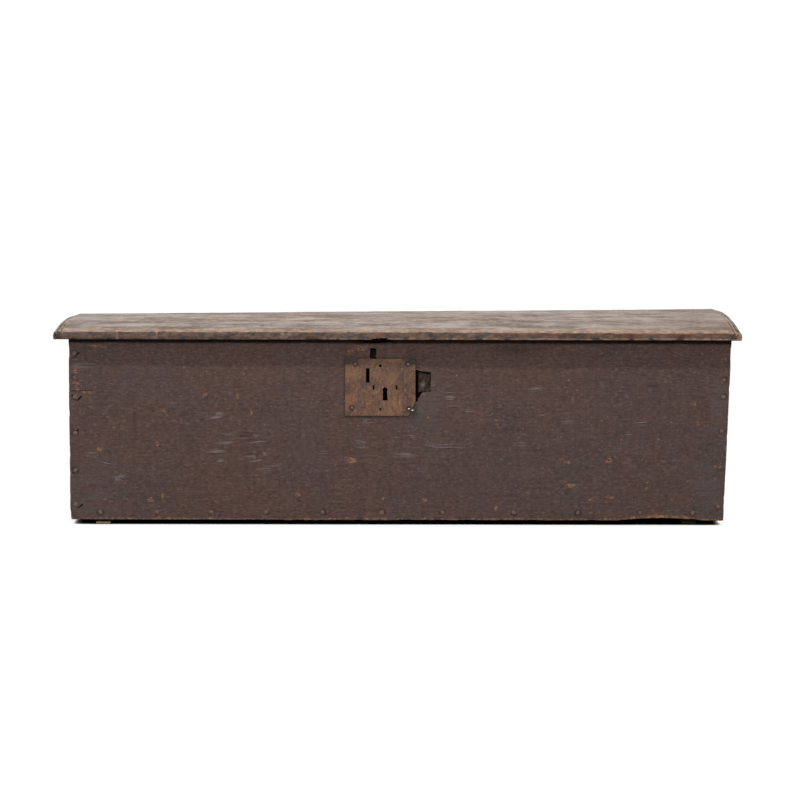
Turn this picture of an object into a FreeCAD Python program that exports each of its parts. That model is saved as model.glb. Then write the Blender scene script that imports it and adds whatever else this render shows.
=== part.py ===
import FreeCAD, Part
import os
import re
import Sketcher
from FreeCAD import Rotation, Vector

# Six plank chest: front, back, two ends, bottom and lid, nailed together, on two runners.
# The lid swings on two wrought strap hinges, and an iron lock is let into the front.
# Millimetres. X runs along the front, to the right; Y runs to the back; Z is up.
# The origin lies on the floor, under the middle of the lid.

# Driving sizes in millimetres, and shares. Offsets along the front count to the right, rises count up.
SIZES = [
    ("chest_length", 1250, "front plank, left to right, at its top edge"),
    ("chest_depth", 380, "front face to back face"),
    ("plank_height", 344, "front, back and ends"),
    ("right_lean", 11, "the right end stands this much further out at the top than at the foot"),
    ("front_thick", 24, "front plank"),
    ("back_thick", 24, "back plank"),
    ("end_thick", 22, "both end planks"),
    ("bottom_thick", 20, "bottom plank"),
    ("bottom_raise", 5, "bottom plank above the foot of the other planks"),
    ("runner_gap", 9, "floor to the foot of the planks"),
    ("runner_width", 28, "each runner"),
    ("runner_inset", 48, "end's outer face to its runner"),
    ("lid_left_overhang", 25, "lid past the left end"),
    ("lid_right_overhang", 13, "lid past the top of the right end"),
    ("lid_front_overhang", 26, "lid past the front"),
    ("lid_back_overhang", 24, "lid past the back"),
    ("lid_edge", 17, "lid's thickness at its front and back edges"),
    ("lid_left_crown", 17, "lid's rise above its edges at the left end"),
    ("lid_right_crown", 27, "lid's rise above its edges at the right end"),
    ("left_ridge_share", 0.5, "place of the ridge across the lid's left end, from the front"),
    ("right_ridge_share", 0.65, "place of the ridge across the lid's right end, from the front"),
    ("lip_width", 6, "sloped outer edge of the lid's moulded end"),
    ("lip_drop", 4, "fall of that slope"),
    ("quirk_inset", 11, "lid's end to the groove of the moulding"),
    ("quirk_width", 5, "that groove, at its top"),
    ("quirk_floor", 2, "that groove, at its bottom"),
    ("quirk_depth", 2.5, "that groove"),
    ("chip_offset", -29, "chip in the lid's front edge, from the lid's middle"),
    ("chip_width", 38, "that chip along the edge"),
    ("chip_height", 4, "that chip upwards"),
    ("chip_depth", 10, "that chip inwards"),
    ("lock_offset", -37.5, "middle of the lock plate from the middle of the front's top edge"),
    ("lock_drop", 91, "middle of the lock plate below the front's top edge"),
    ("plate_width", 133, "lock plate"),
    ("plate_height", 108, "lock plate"),
    ("plate_thick", 2, "lock plate"),
    ("plate_cut_width", 13, "cut corner at the plate's lower right"),
    ("plate_cut_height", 27, "the same corner"),
    ("slot_offset", -23.6, "hasp slot from the plate's middle"),
    ("slot_rise", 22.7, "hasp slot from the plate's middle"),
    ("slot_width", 6.8, "hasp slot"),
    ("slot_height", 27, "hasp slot"),
    ("key_offset", 9.2, "keyhole from the plate's middle"),
    ("key_rise", -4.3, "middle of the keyhole's round head from the plate's middle"),
    ("key_head", 8.2, "diameter of the keyhole's head"),
    ("key_waist", 6.8, "keyhole's width below its head"),
    ("key_foot", 8.2, "keyhole's width at its foot"),
    ("key_drop", 20.3, "middle of the head to the keyhole's foot"),
    ("ward_reach", 21.7, "keyhole to each ward slot"),
    ("ward_width", 3, "ward slot"),
    ("ward_height", 8.2, "ward slot"),
    ("ward_fit", 0.1, "gap round the ward bridge's tenons"),
    ("ward_sink", 1, "tenons' ends behind the plate's front"),
    ("ward_depth", 13, "clear space behind the plate for the key"),
    ("ward_thick", 2.5, "back of the ward bridge"),
    ("empty_hole", 3.6, "diameter of the plate's two empty holes"),
    ("empty_hole_rise", 41, "those holes above and below the plate's middle"),
    ("mortise_room", 2, "gap round the lock's works in their mortise"),
    ("mortise_show", 4.5, "mortise past the plate's right edge"),
    ("recess_right", 95.5, "older recess right of the plate's middle"),
    ("recess_up", 28.6, "older recess above the plate's middle"),
    ("recess_down", 9.3, "older recess below the plate's middle"),
    ("recess_depth", 10, "older recess"),
    ("notch_offset", -13.5, "notch above the plate, from its middle"),
    ("notch_width", 12, "that notch"),
    ("notch_height", 20, "that notch above the plate"),
    ("notch_depth", 14, "that notch"),
    ("hollow_offset", -7.5, "hollow in the front's top edge, from the plate's middle"),
    ("hollow_width", 70, "that hollow"),
    ("hollow_depth", 5, "that hollow downwards"),
    ("hollow_reach", 13, "that hollow inwards"),
    ("bolt_rise", 21, "lock bolt's middle above the plate's middle"),
    ("bolt_height", 14, "lock bolt"),
    ("bolt_depth", 6, "lock bolt, front to back"),
    ("bolt_left", 16, "lock bolt's end left of the plate's middle, drawn back"),
    ("bolt_right", 50, "lock bolt's tail right of the plate's middle, drawn back"),
    ("bolt_throw", 14, "lock bolt's travel to the left"),
    ("bolt_room", 0.3, "gap all round the lock bolt"),
    ("talon_depth", 4.5, "notch for the key in the bolt's lower edge"),
    ("guide_inset", 10, "each bolt guide from the bolt's nearer end, drawn back"),
    ("guide_width", 6, "bolt guide along the bolt"),
    ("guide_thick", 2.5, "bolt guide's bar"),
    ("spring_foot", 5, "width and height of the spring's foot"),
    ("spring_blade", 1.4, "thickness of the spring's blade"),
    ("spring_reach", 46, "length of the spring's blade"),
    ("spring_depth", 5, "spring, front to back"),
    ("hinge_inset", 235, "end's outer face to the middle of its hinge"),
    ("pin_radius", 2.5, "hinge pin"),
    ("pin_fit", 0.08, "gap round the hinge pin"),
    ("pin_head", 3.7, "radius of the pin's peened ends"),
    ("pin_head_thick", 1.8, "pin's peened ends"),
    ("knuckle_gap", 0.4, "gap beside the strap's eye"),
    ("hinge_room", 0.4, "gap between the strap and the back plank"),
    ("strap_thick", 3.4, "strap under the lid"),
    ("strap_width", 34, "strap at its eye"),
    ("strap_tip_width", 20, "strap at its tip"),
    ("strap_tip", 14, "pointed end of the strap"),
    ("strap_length", 210, "pin to the strap's tip"),
    ("leaf_thick", 3, "leaf let into the back"),
    ("leaf_width", 84, "leaf"),
    ("leaf_length", 78, "pin to the leaf's foot"),
    ("leaf_fit", 0.2, "gap round the leaf in its recess"),
    ("plank_nail_head", 9, "diameter of the head of a plank nail"),
    ("plank_nail_rise", 2, "its head's height"),
    ("plank_nail_shank", 4.4, "diameter of its shank under the head"),
    ("plank_nail_length", 58, "its length"),
    ("runner_nail_head", 8, "diameter of the head of a runner nail"),
    ("runner_nail_rise", 1.6, "its head's height"),
    ("runner_nail_sink", 1, "its head above the runner's foot"),
    ("runner_nail_shank", 3.8, "diameter of its shank under the head"),
    ("runner_nail_length", 26, "its length"),
    ("plate_nail_head", 7, "diameter of the head of a lock plate nail"),
    ("plate_nail_rise", 1.8, "its head's height"),
    ("plate_nail_shank", 3, "diameter of its shank under the head"),
    ("plate_nail_length", 18, "its length"),
    ("hinge_nail_head", 8.5, "diameter of the head of a hinge nail"),
    ("hinge_nail_rise", 2, "its head's height"),
    ("hinge_nail_shank", 3.6, "diameter of its shank under the head"),
    ("hinge_nail_length", 17, "its length"),
    ("nail_crown_share", 0.45, "flat of a nail's head, of the head's diameter"),
    ("nail_point_share", 0.3, "nail's point, of the shank's diameter"),
    ("cut_overrun", 1, "cuts run this much past a face"),
]

# Places worked out from the sizes.
PLACES = [
    ("lid_right", "(chest_length + lid_left_overhang + lid_right_overhang) / 2"),
    ("lid_left", "-lid_right"),
    ("lid_back", "(chest_depth + lid_front_overhang + lid_back_overhang) / 2"),
    ("lid_front", "-lid_back"),
    ("left_face", "lid_left + lid_left_overhang"),
    ("right_face", "lid_right - lid_right_overhang"),
    ("right_foot", "right_face - right_lean"),
    ("front_face", "lid_front + lid_front_overhang"),
    ("back_face", "lid_back - lid_back_overhang"),
    ("front_inner", "front_face + front_thick"),
    ("back_inner", "back_face - back_thick"),
    ("left_inner", "left_face + end_thick"),
    ("plank_top", "runner_gap + plank_height"),
    ("bottom_under", "runner_gap + bottom_raise"),
    ("bottom_top", "bottom_under + bottom_thick"),
    ("bottom_middle", "bottom_under + bottom_thick / 2"),
    ("lean", "right_lean / plank_height"),
    ("lock_x", "(left_face + right_face) / 2 + lock_offset"),
    ("lock_z", "plank_top - lock_drop"),
    ("plate_left", "lock_x - plate_width / 2"),
    ("plate_right", "lock_x + plate_width / 2"),
    ("plate_foot", "lock_z - plate_height / 2"),
    ("plate_top", "lock_z + plate_height / 2"),
    ("plate_front", "front_face - plate_thick"),
    ("key_x", "lock_x + key_offset"),
    ("key_z", "lock_z + key_rise"),
    ("bolt_foot", "lock_z + bolt_rise - bolt_height / 2"),
    ("bolt_top", "lock_z + bolt_rise + bolt_height / 2"),
    ("bolt_front", "front_face + bolt_room"),
    ("bolt_back", "bolt_front + bolt_depth"),
    ("bolt_end", "lock_x - bolt_left"),
    ("bolt_tail", "lock_x + bolt_right"),
    ("left_guide_x", "bolt_end + guide_inset"),
    ("right_guide_x", "bolt_tail - guide_inset"),
    ("guide_foot", "bolt_foot - bolt_room - guide_thick"),
    ("guide_top", "bolt_top + bolt_room + guide_thick"),
    ("guide_back", "bolt_back + bolt_room + guide_thick"),
    ("blade_z", "guide_top + bolt_room"),
    ("mortise_left", "bolt_end - bolt_throw - mortise_room"),
    ("mortise_right", "plate_right + mortise_show"),
    ("mortise_foot", "key_z - key_drop - mortise_room"),
    ("mortise_top", "blade_z + spring_foot + mortise_room"),
    ("mortise_depth", "ward_depth + ward_thick + mortise_room"),
    ("eye_bore", "pin_radius + pin_fit"),
    ("strap_eye", "eye_bore + strap_thick"),
    ("leaf_eye", "eye_bore + leaf_thick"),
    ("pin_y", "back_face + eye_bore"),
    ("pin_z", "plank_top - strap_eye"),
    ("left_hinge_x", "left_face + hinge_inset"),
    ("right_hinge_x", "right_face - hinge_inset"),
    ("eye_gap", "strap_width / 2 + knuckle_gap"),
]

# Nails along the front's foot, as shares of its length; the back has the same row.
FOOT_NAIL_shares = (0.046, 0.133, 0.216, 0.300, 0.386, 0.4765, 0.570, 0.679, 0.777, 0.872, 0.953)
# Nails up the two sides of the front and back, as shares of the planks' height.
LEFT_NAIL_shares = (0.086, 0.275, 0.480, 0.680, 0.785, 0.919)
RIGHT_NAIL_shares = (0.080, 0.297, 0.497, 0.686, 0.780, 0.893)
# Nails through the ends into the bottom, and through the runners, as shares of the inner depth.
END_NAIL_shares = (0.15, 0.5, 0.85)
# Lock plate nails, as shares of half the plate's width and half its height.
PLATE_NAIL_shares = ((-0.70, 0.82), (0.79, 0.82), (-0.80, -0.71), (0.76, -0.72), (0.90, -0.80))
# Hinge nails, as shares of the strap's length, and of half the leaf's width and the leaf's length.
STRAP_NAIL_shares = (0.27, 0.5, 0.72, 0.9)
LEAF_NAIL_shares = ((-0.72, 0.5), (0.72, 0.5), (-0.72, 0.85), (0.72, 0.85))
# Worn outlines: corners of the chip and of the hollow, as shares of half their width and of their depth.
WORN_EDGE_shares = ((-1, 0), (1, 0), (0.55, 0.75), (0.15, 1), (-0.35, 0.9), (-0.75, 0.5))
# Notch for the key in the bolt: its two sides from the keyhole, as shares of the bolt's throw.
TALON_shares = (-0.1, 1.1)

# Ways that a nail is driven.
INTO_FRONT = Vector(0, 1, 0)
INTO_BACK = Vector(0, -1, 0)
INTO_LEFT = Vector(1, 0, 0)
INTO_RIGHT = Vector(-1, 0, 0)
UPWARDS = Vector(0, 0, 1)

# Planes that the sketches are drawn on, as seen from the front, from the right end and from above.
PLANES = {"front": "XZ_Plane", "end": "YZ_Plane", "top": "XY_Plane"}

doc = FreeCAD.newDocument("six_plank_chest")
pieces = []


# Sheets

def fill_sheet(name, rows):
    sheet = doc.addObject("Spreadsheet::Sheet", name)
    for number, (alias, content, note) in enumerate(rows, start=1):
        sheet.set(f"A{number}", note)
        sheet.set(f"B{number}", content)
        sheet.setAlias(f"B{number}", alias)
    doc.recompute()
    return sheet


SHEET_OF = {row[0]: "Sizes" for row in SIZES} | {row[0]: "Places" for row in PLACES}


def formula(text):
    """The text with each size and place looked up in its sheet."""
    def looked_up(match):
        word = match.group()
        return f"{SHEET_OF[word]}.{word}" if word in SHEET_OF else word

    return re.sub(r"[a-z_]+", looked_up, text)


sizes = fill_sheet("Sizes", [(alias, str(number), note) for alias, number, note in SIZES])
fill_sheet("Places", [(alias, "=" + formula(text), alias) for alias, text in PLACES])


def value(text):
    """What a formula comes to."""
    return float(sizes.evalExpression(formula(text)))


# Sketches and features of a body

def new_body(label):
    body = doc.addObject("PartDesign::Body", label)
    body.Label = label
    pieces.append(body)
    return body


def new_sketch(body, view, place):
    """A sketch seen from the front, the right end or above, at a place on Y, X or Z."""
    sketch = body.newObject("Sketcher::SketchObject", body.Name + "_sketch")
    plane = next(feature for feature in body.Origin.OriginFeatures if feature.Role == PLANES[view])
    sketch.AttachmentSupport = [(plane, "")]
    sketch.MapMode = "FlatFace"
    # The front's plane looks along -Y, so its offset is counted the other way.
    offset = f"-({place})" if view == "front" else place
    sketch.setExpression("AttachmentOffset.Base.z", formula(offset))
    return sketch


def hold(sketch, geometry, point, place):
    """Keeps a point of a sketch's geometry at its two formulas; None leaves that way free."""
    for kind, text in zip(("DistanceX", "DistanceY"), place):
        if text is not None:
            index = sketch.addConstraint(Sketcher.Constraint(kind, -1, 1, geometry, point, value(text)))
            sketch.setExpression(f"Constraints[{index}]", formula(text))


def draw_outline(sketch, corners):
    """A closed outline of straight lines through corners given by formulas."""
    points = [Vector(value(across), value(up), 0) for across, up in corners]
    first = sketch.GeometryCount
    count = len(points)
    sketch.addGeometry([Part.LineSegment(points[i], points[(i + 1) % count]) for i in range(count)], False)
    for i in range(count):
        sketch.addConstraint(Sketcher.Constraint("Coincident", first + i, 2, first + (i + 1) % count, 1))
        hold(sketch, first + i, 1, corners[i])


def draw_rectangle(sketch, left, right, foot, top):
    draw_outline(sketch, [(left, foot), (right, foot), (right, top), (left, top)])


def draw_circle(sketch, across, up, radius):
    centre = Vector(value(across), value(up), 0)
    geometry = sketch.addGeometry(Part.Circle(centre, UPWARDS, value(radius)), False)
    hold(sketch, geometry, 3, (across, up))
    index = sketch.addConstraint(Sketcher.Constraint("Radius", geometry, value(radius)))
    sketch.setExpression(f"Constraints[{index}]", formula(radius))


def pad(body, sketch, length, backwards=False):
    feature = body.newObject("PartDesign::Pad", body.Name + "_pad")
    feature.Profile = sketch
    feature.Reversed = backwards
    feature.setExpression("Length", formula(length))
    doc.recompute()


def pocket(body, sketch, depth, backwards=False):
    """A pocket, which has to take something away."""
    before = body.Shape.Volume
    feature = body.newObject("PartDesign::Pocket", body.Name + "_pocket")
    feature.Profile = sketch
    feature.Reversed = backwards
    feature.setExpression("Length", formula(depth))
    doc.recompute()
    if body.Shape.Volume >= before:
        raise RuntimeError(f"a pocket of {body.Label} cuts nothing")


# Blocks and nails

def new_block(name, low, high):
    """A box between two corners given by formulas."""
    block = doc.addObject("Part::Box", name)
    block.Label = name
    for axis, side, start, end in zip("xyz", ("Length", "Width", "Height"), low, high):
        block.setExpression("Placement.Base." + axis, formula(start))
        block.setExpression(side, formula(f"({end}) - ({start})"))
    return block


def new_cone(name, place, way, foot_radius, top_radius, height):
    """A cone frustum standing at a place, along a way."""
    cone = doc.addObject("Part::Cone", name)
    cone.Placement.Rotation = Rotation(UPWARDS, way)
    for axis, text in zip("xyz", place):
        cone.setExpression("Placement.Base." + axis, formula(text))
    cone.setExpression("Radius1", formula(foot_radius))
    cone.setExpression("Radius2", formula(top_radius))
    cone.setExpression("Height", formula(height))
    return cone


def join(name, parts):
    """Solids that are one piece."""
    joined = doc.addObject("Part::MultiFuse", name)
    joined.Shapes = parts
    return joined


def new_nails(label, kind, way, seats):
    """A group of nails of one kind, driven one way; each seat is where a head meets the wood or iron."""
    group = doc.addObject("Part::Compound", label)
    group.Label = label
    nails = []
    for number, seat in enumerate(seats, start=1):
        name = f"{label}_{number}"
        head = new_cone(name + "_head", seat, -way, f"{kind}_head / 2",
                        f"{kind}_head / 2 * nail_crown_share", f"{kind}_rise")
        shank = new_cone(name + "_shank", seat, way, f"{kind}_shank / 2",
                         f"{kind}_shank / 2 * nail_point_share", f"{kind}_length")
        nails.append(join(name, [head, shank]))
    group.Links = nails
    pieces.append(group)


def along(start, end, share):
    """The formula for a share of the way from one place to another."""
    return f"{start} + ({end} - ({start})) * {share}"


# Planks

def make_front():
    body = new_body("front_plank")
    sketch = new_sketch(body, "front", "front_face")
    draw_outline(sketch, [("left_face", "runner_gap"), ("right_foot", "runner_gap"),
                          ("right_face", "plank_top"), ("left_face", "plank_top")])
    pad(body, sketch, "front_thick", backwards=True)
    cuts = [
        ("mortise_left", "mortise_right", "mortise_foot", "mortise_top", "mortise_depth"),
        ("lock_x", "lock_x + recess_right", "lock_z - recess_down", "lock_z + recess_up", "recess_depth"),
        ("lock_x + notch_offset - notch_width / 2", "lock_x + notch_offset + notch_width / 2",
         "lock_z", "plate_top + notch_height", "notch_depth"),
    ]
    for left, right, foot, top, depth in cuts:
        sketch = new_sketch(body, "front", "front_face")
        draw_rectangle(sketch, left, right, foot, top)
        pocket(body, sketch, depth)
    sketch = new_sketch(body, "front", "front_face")
    draw_outline(sketch, [(f"lock_x + hollow_offset + hollow_width / 2 * ({across})",
                           f"plank_top - hollow_depth * {down}") for across, down in WORN_EDGE_shares])
    pocket(body, sketch, "hollow_reach")


def make_back():
    body = new_body("back_plank")
    sketch = new_sketch(body, "front", "back_face")
    draw_outline(sketch, [("left_face", "runner_gap"), ("right_foot", "runner_gap"),
                          ("right_face", "plank_top"), ("left_face", "plank_top")])
    pad(body, sketch, "back_thick")
    for middle in ("left_hinge_x", "right_hinge_x"):
        barrel = "leaf_width / 2 + pin_head_thick + hinge_room"
        cuts = [
            ("leaf_width / 2 + leaf_fit", "pin_z - leaf_length - leaf_fit", "leaf_thick"),
            (barrel, "pin_z - strap_eye - hinge_room", "strap_thick + hinge_room"),
            ("eye_gap", "plank_top - strap_thick - hinge_room", "back_thick + cut_overrun"),
        ]
        for half_width, foot, depth in cuts:
            sketch = new_sketch(body, "front", "back_face")
            draw_rectangle(sketch, f"{middle} - ({half_width})", f"{middle} + {half_width}",
                           foot, "plank_top + cut_overrun")
            pocket(body, sketch, depth, backwards=True)


def make_ends_and_bottom():
    left = new_block("left_end_plank", ("left_face", "front_inner", "runner_gap"),
                     ("left_inner", "back_inner", "plank_top"))
    pieces.append(left)

    right = new_body("right_end_plank")
    sketch = new_sketch(right, "front", "front_inner")
    draw_outline(sketch, [("right_foot - end_thick", "runner_gap"), ("right_foot", "runner_gap"),
                          ("right_face", "plank_top"), ("right_face - end_thick", "plank_top")])
    pad(right, sketch, "back_inner - front_inner", backwards=True)

    bottom = new_body("bottom_plank")
    sketch = new_sketch(bottom, "front", "front_inner")
    draw_outline(sketch, [("left_inner", "bottom_under"),
                          ("right_foot - end_thick + lean * bottom_raise", "bottom_under"),
                          ("right_foot - end_thick + lean * (bottom_raise + bottom_thick)", "bottom_top"),
                          ("left_inner", "bottom_top")])
    pad(bottom, sketch, "back_inner - front_inner", backwards=True)

    runner_places = {
        "left_runner": "left_face + runner_inset",
        "right_runner": "right_foot - runner_inset - runner_width",
    }
    for name, start in runner_places.items():
        runner = new_block(name, (start, "front_inner", "0"),
                           (start + " + runner_width", "back_inner", "bottom_under"))
        pieces.append(runner)


# Lid

def draw_lid_section(body, at, drop):
    """The lid's cross section at a place along it: flat below, two arcs that meet at the ridge above."""
    share = f"(({at}) - lid_left) / (lid_right - lid_left)"
    crown = along("lid_left_crown", "lid_right_crown", share)
    ridge = along("left_ridge_share", "right_ridge_share", share)
    ridge_y = along("lid_front", "lid_back", f"({ridge})")
    edge_z = f"plank_top + lid_edge - {drop}"
    corners = [("lid_front", "plank_top"), ("lid_back", "plank_top"), ("lid_back", edge_z),
               (ridge_y, f"{edge_z} + {crown}"), ("lid_front", edge_z)]
    points = [Vector(value(across), value(up), 0) for across, up in corners]
    sketch = new_sketch(body, "end", at)

    def ridge_arc(side):
        """The arc from the ridge down to one edge, level at the ridge."""
        run = abs(side.x - points[3].x)
        rise = points[3].y - side.y
        radius = (run * run + rise * rise) / (2 * rise)
        circle = Part.Circle(points[3] - Vector(0, radius, 0), UPWARDS, radius)
        ends = sorted((circle.parameter(points[3]), circle.parameter(side)))
        return Part.ArcOfCircle(circle, *ends)

    sketch.addGeometry([Part.LineSegment(points[0], points[1]), Part.LineSegment(points[1], points[2]),
                        ridge_arc(points[2]), ridge_arc(points[4]),
                        Part.LineSegment(points[4], points[0])], False)
    for i, corner in enumerate(corners):
        sketch.addConstraint(Sketcher.Constraint("Coincident", i, 2, (i + 1) % len(corners), 1))
        hold(sketch, i, 1, corner)
    for arc in (2, 3):
        hold(sketch, arc, 3, (ridge_y, None))
    return sketch


def make_lid():
    body = new_body("lid_plank")
    quirk_slope = "(quirk_width - quirk_floor) / 2"
    # Places from the lid's end inwards, and the fall of the top there.
    moulding = [
        ("0", "lip_drop"),
        ("lip_width", "0"),
        ("quirk_inset", "0"),
        (f"quirk_inset + {quirk_slope}", "quirk_depth"),
        (f"quirk_inset + {quirk_slope} + quirk_floor", "quirk_depth"),
        ("quirk_inset + quirk_width", "0"),
    ]
    sections = [draw_lid_section(body, f"lid_left + {inset}", drop) for inset, drop in moulding]
    sections += [draw_lid_section(body, f"lid_right - ({inset})", drop) for inset, drop in reversed(moulding)]
    doc.recompute()
    loft = body.newObject("PartDesign::AdditiveLoft", "lid_loft")
    loft.Profile = sections[0]
    loft.Sections = sections[1:]
    loft.Ruled = True
    doc.recompute()

    sketch = new_sketch(body, "front", "lid_front")
    draw_outline(sketch, [(f"chip_offset + chip_width / 2 * ({across})", f"plank_top + chip_height * {up}")
                          for across, up in WORN_EDGE_shares])
    pocket(body, sketch, "chip_depth")


# Lock

def make_lock_plate():
    body = new_body("lock_plate")
    sketch = new_sketch(body, "front", "front_face")
    draw_outline(sketch, [("plate_left", "plate_foot"), ("plate_right - plate_cut_width", "plate_foot"),
                          ("plate_right", "plate_foot + plate_cut_height"),
                          ("plate_right", "plate_top"), ("plate_left", "plate_top")])
    pad(body, sketch, "plate_thick")

    sketch = new_sketch(body, "front", "front_face")
    draw_rectangle(sketch, "lock_x + slot_offset - slot_width / 2", "lock_x + slot_offset + slot_width / 2",
                   "lock_z + slot_rise - slot_height / 2", "lock_z + slot_rise + slot_height / 2")
    for reach in ("-ward_reach", "+ ward_reach"):
        draw_rectangle(sketch, f"key_x {reach} - ward_width / 2", f"key_x {reach} + ward_width / 2",
                       "lock_z - ward_height / 2", "lock_z + ward_height / 2")
    for rise in ("-empty_hole_rise", "+ empty_hole_rise"):
        draw_circle(sketch, "lock_x", f"lock_z {rise}", "empty_hole / 2")
    key_foot_z = "key_z - key_drop"
    draw_outline(sketch, [("key_x - key_foot / 2", key_foot_z), ("key_x + key_foot / 2", key_foot_z),
                          ("key_x + key_waist / 2", "key_z"), ("key_x - key_waist / 2", "key_z")])
    pocket(body, sketch, "plate_thick + cut_overrun", backwards=True)

    sketch = new_sketch(body, "front", "front_face")
    draw_circle(sketch, "key_x", "key_z", "key_head / 2")
    pocket(body, sketch, "plate_thick + cut_overrun", backwards=True)


def make_lock_works():
    bolt = new_body("lock_bolt")
    sketch = new_sketch(bolt, "front", "bolt_front")
    talon_left, talon_right = [f"key_x + bolt_throw * ({share})" for share in TALON_shares]
    draw_outline(sketch, [("bolt_end", "bolt_foot"), (talon_left, "bolt_foot"),
                          (talon_left, "bolt_foot + talon_depth"), (talon_right, "bolt_foot + talon_depth"),
                          (talon_right, "bolt_foot"), ("bolt_tail", "bolt_foot"),
                          ("bolt_tail", "bolt_top"), ("bolt_end", "bolt_top")])
    pad(bolt, sketch, "bolt_depth", backwards=True)

    for side in ("left", "right"):
        guide = new_body(f"lock_{side}_guide")
        sketch = new_sketch(guide, "end", f"{side}_guide_x - guide_width / 2")
        inner_foot, inner_top = "bolt_foot - bolt_room", "bolt_top + bolt_room"
        inner_back = "bolt_back + bolt_room"
        draw_outline(sketch, [("front_face", "guide_foot"), ("guide_back", "guide_foot"),
                              ("guide_back", "guide_top"), ("front_face", "guide_top"),
                              ("front_face", inner_top), (inner_back, inner_top),
                              (inner_back, inner_foot), ("front_face", inner_foot)])
        pad(guide, sketch, "guide_width")

    spring = new_body("lock_spring")
    sketch = new_sketch(spring, "front", "front_face")
    foot_left = "bolt_tail - spring_foot"
    foot_top, blade_top = "blade_z + spring_foot", "blade_z + spring_blade"
    tip = foot_left + " - spring_reach"
    toe = "bolt_top + bolt_room"
    knee = "right_guide_x - guide_width"
    draw_outline(sketch, [(foot_left, "blade_z"), ("bolt_tail", "blade_z"), ("bolt_tail", foot_top),
                          (foot_left, foot_top), (foot_left, blade_top), (knee, blade_top),
                          (tip, toe + " + spring_blade"), (tip, toe), (knee, "blade_z")])
    pad(spring, sketch, "spring_depth", backwards=True)

    bridge = new_body("lock_ward_bridge")
    sketch = new_sketch(bridge, "top", "lock_z - ward_height / 2 + ward_fit")
    outer = "(ward_reach + ward_width / 2 - ward_fit)"
    inner = "(ward_reach - ward_width / 2 + ward_fit)"
    front = "plate_front + ward_sink"
    floor = "front_face + ward_depth"
    back = floor + " + ward_thick"
    draw_outline(sketch, [(f"key_x - {outer}", front), (f"key_x - {inner}", front),
                          (f"key_x - {inner}", floor), (f"key_x + {inner}", floor),
                          (f"key_x + {inner}", front), (f"key_x + {outer}", front),
                          (f"key_x + {outer}", back), (f"key_x - {outer}", back)])
    pad(bridge, sketch, "ward_height - 2 * ward_fit")


# Hinges

def make_hinge(side):
    middle = f"{side}_hinge_x"
    strap = new_body(f"{side}_hinge_strap")
    sketch = new_sketch(strap, "top", "plank_top")
    tip_y = "pin_y - strap_length"
    draw_outline(sketch, [(f"{middle} - strap_width / 2", "pin_y"),
                          (f"{middle} - strap_tip_width / 2", tip_y + " + strap_tip"), (middle, tip_y),
                          (f"{middle} + strap_tip_width / 2", tip_y + " + strap_tip"),
                          (f"{middle} + strap_width / 2", "pin_y")])
    pad(strap, sketch, "strap_thick", backwards=True)
    sketch = new_sketch(strap, "end", f"{middle} - strap_width / 2")
    draw_circle(sketch, "pin_y", "pin_z", "strap_eye")
    pad(strap, sketch, "strap_width")
    sketch = new_sketch(strap, "end", f"{middle} - strap_width / 2")
    draw_circle(sketch, "pin_y", "pin_z", "eye_bore")
    pocket(strap, sketch, "strap_width", backwards=True)

    leaf = new_body(f"{side}_hinge_leaf")
    sketch = new_sketch(leaf, "front", "back_face")
    left, right = f"{middle} - leaf_width / 2", f"{middle} + leaf_width / 2"
    gap_left, gap_right = f"{middle} - eye_gap", f"{middle} + eye_gap"
    gap_foot = "pin_z - strap_eye - hinge_room"
    draw_outline(sketch, [(left, "pin_z - leaf_length"), (right, "pin_z - leaf_length"), (right, "pin_z"),
                          (gap_right, "pin_z"), (gap_right, gap_foot), (gap_left, gap_foot),
                          (gap_left, "pin_z"), (left, "pin_z")])
    pad(leaf, sketch, "leaf_thick")
    for start in (left, gap_right):
        sketch = new_sketch(leaf, "end", start)
        draw_circle(sketch, "pin_y", "pin_z", "leaf_eye")
        pad(leaf, sketch, "leaf_width / 2 - eye_gap")
    sketch = new_sketch(leaf, "end", left)
    draw_circle(sketch, "pin_y", "pin_z", "eye_bore")
    pocket(leaf, sketch, "leaf_width", backwards=True)

    shaft = new_cone(f"{side}_pin_shaft", (left, "pin_y", "pin_z"), INTO_LEFT,
                     "pin_radius", "pin_radius", "leaf_width")
    ends = [new_cone(f"{side}_pin_end_{number}", (seat, "pin_y", "pin_z"), way, "pin_head",
                     "pin_head * nail_crown_share", "pin_head_thick")
            for number, (seat, way) in enumerate([(left, INTO_RIGHT), (right, INTO_LEFT)], start=1)]
    pin = join(f"{side}_hinge_pin", [shaft] + ends)
    pin.Label = f"{side}_hinge_pin"
    pieces.append(pin)

    new_nails(f"{side}_strap_nails", "hinge_nail", UPWARDS,
              [(middle, f"pin_y - strap_length * {share}", "plank_top - strap_thick")
               for share in STRAP_NAIL_shares])
    new_nails(f"{side}_leaf_nails", "hinge_nail", INTO_BACK,
              [(f"{middle} + leaf_width / 2 * ({across})", "back_face", f"pin_z - leaf_length * {down}")
               for across, down in LEAF_NAIL_shares])


# Nails

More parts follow.
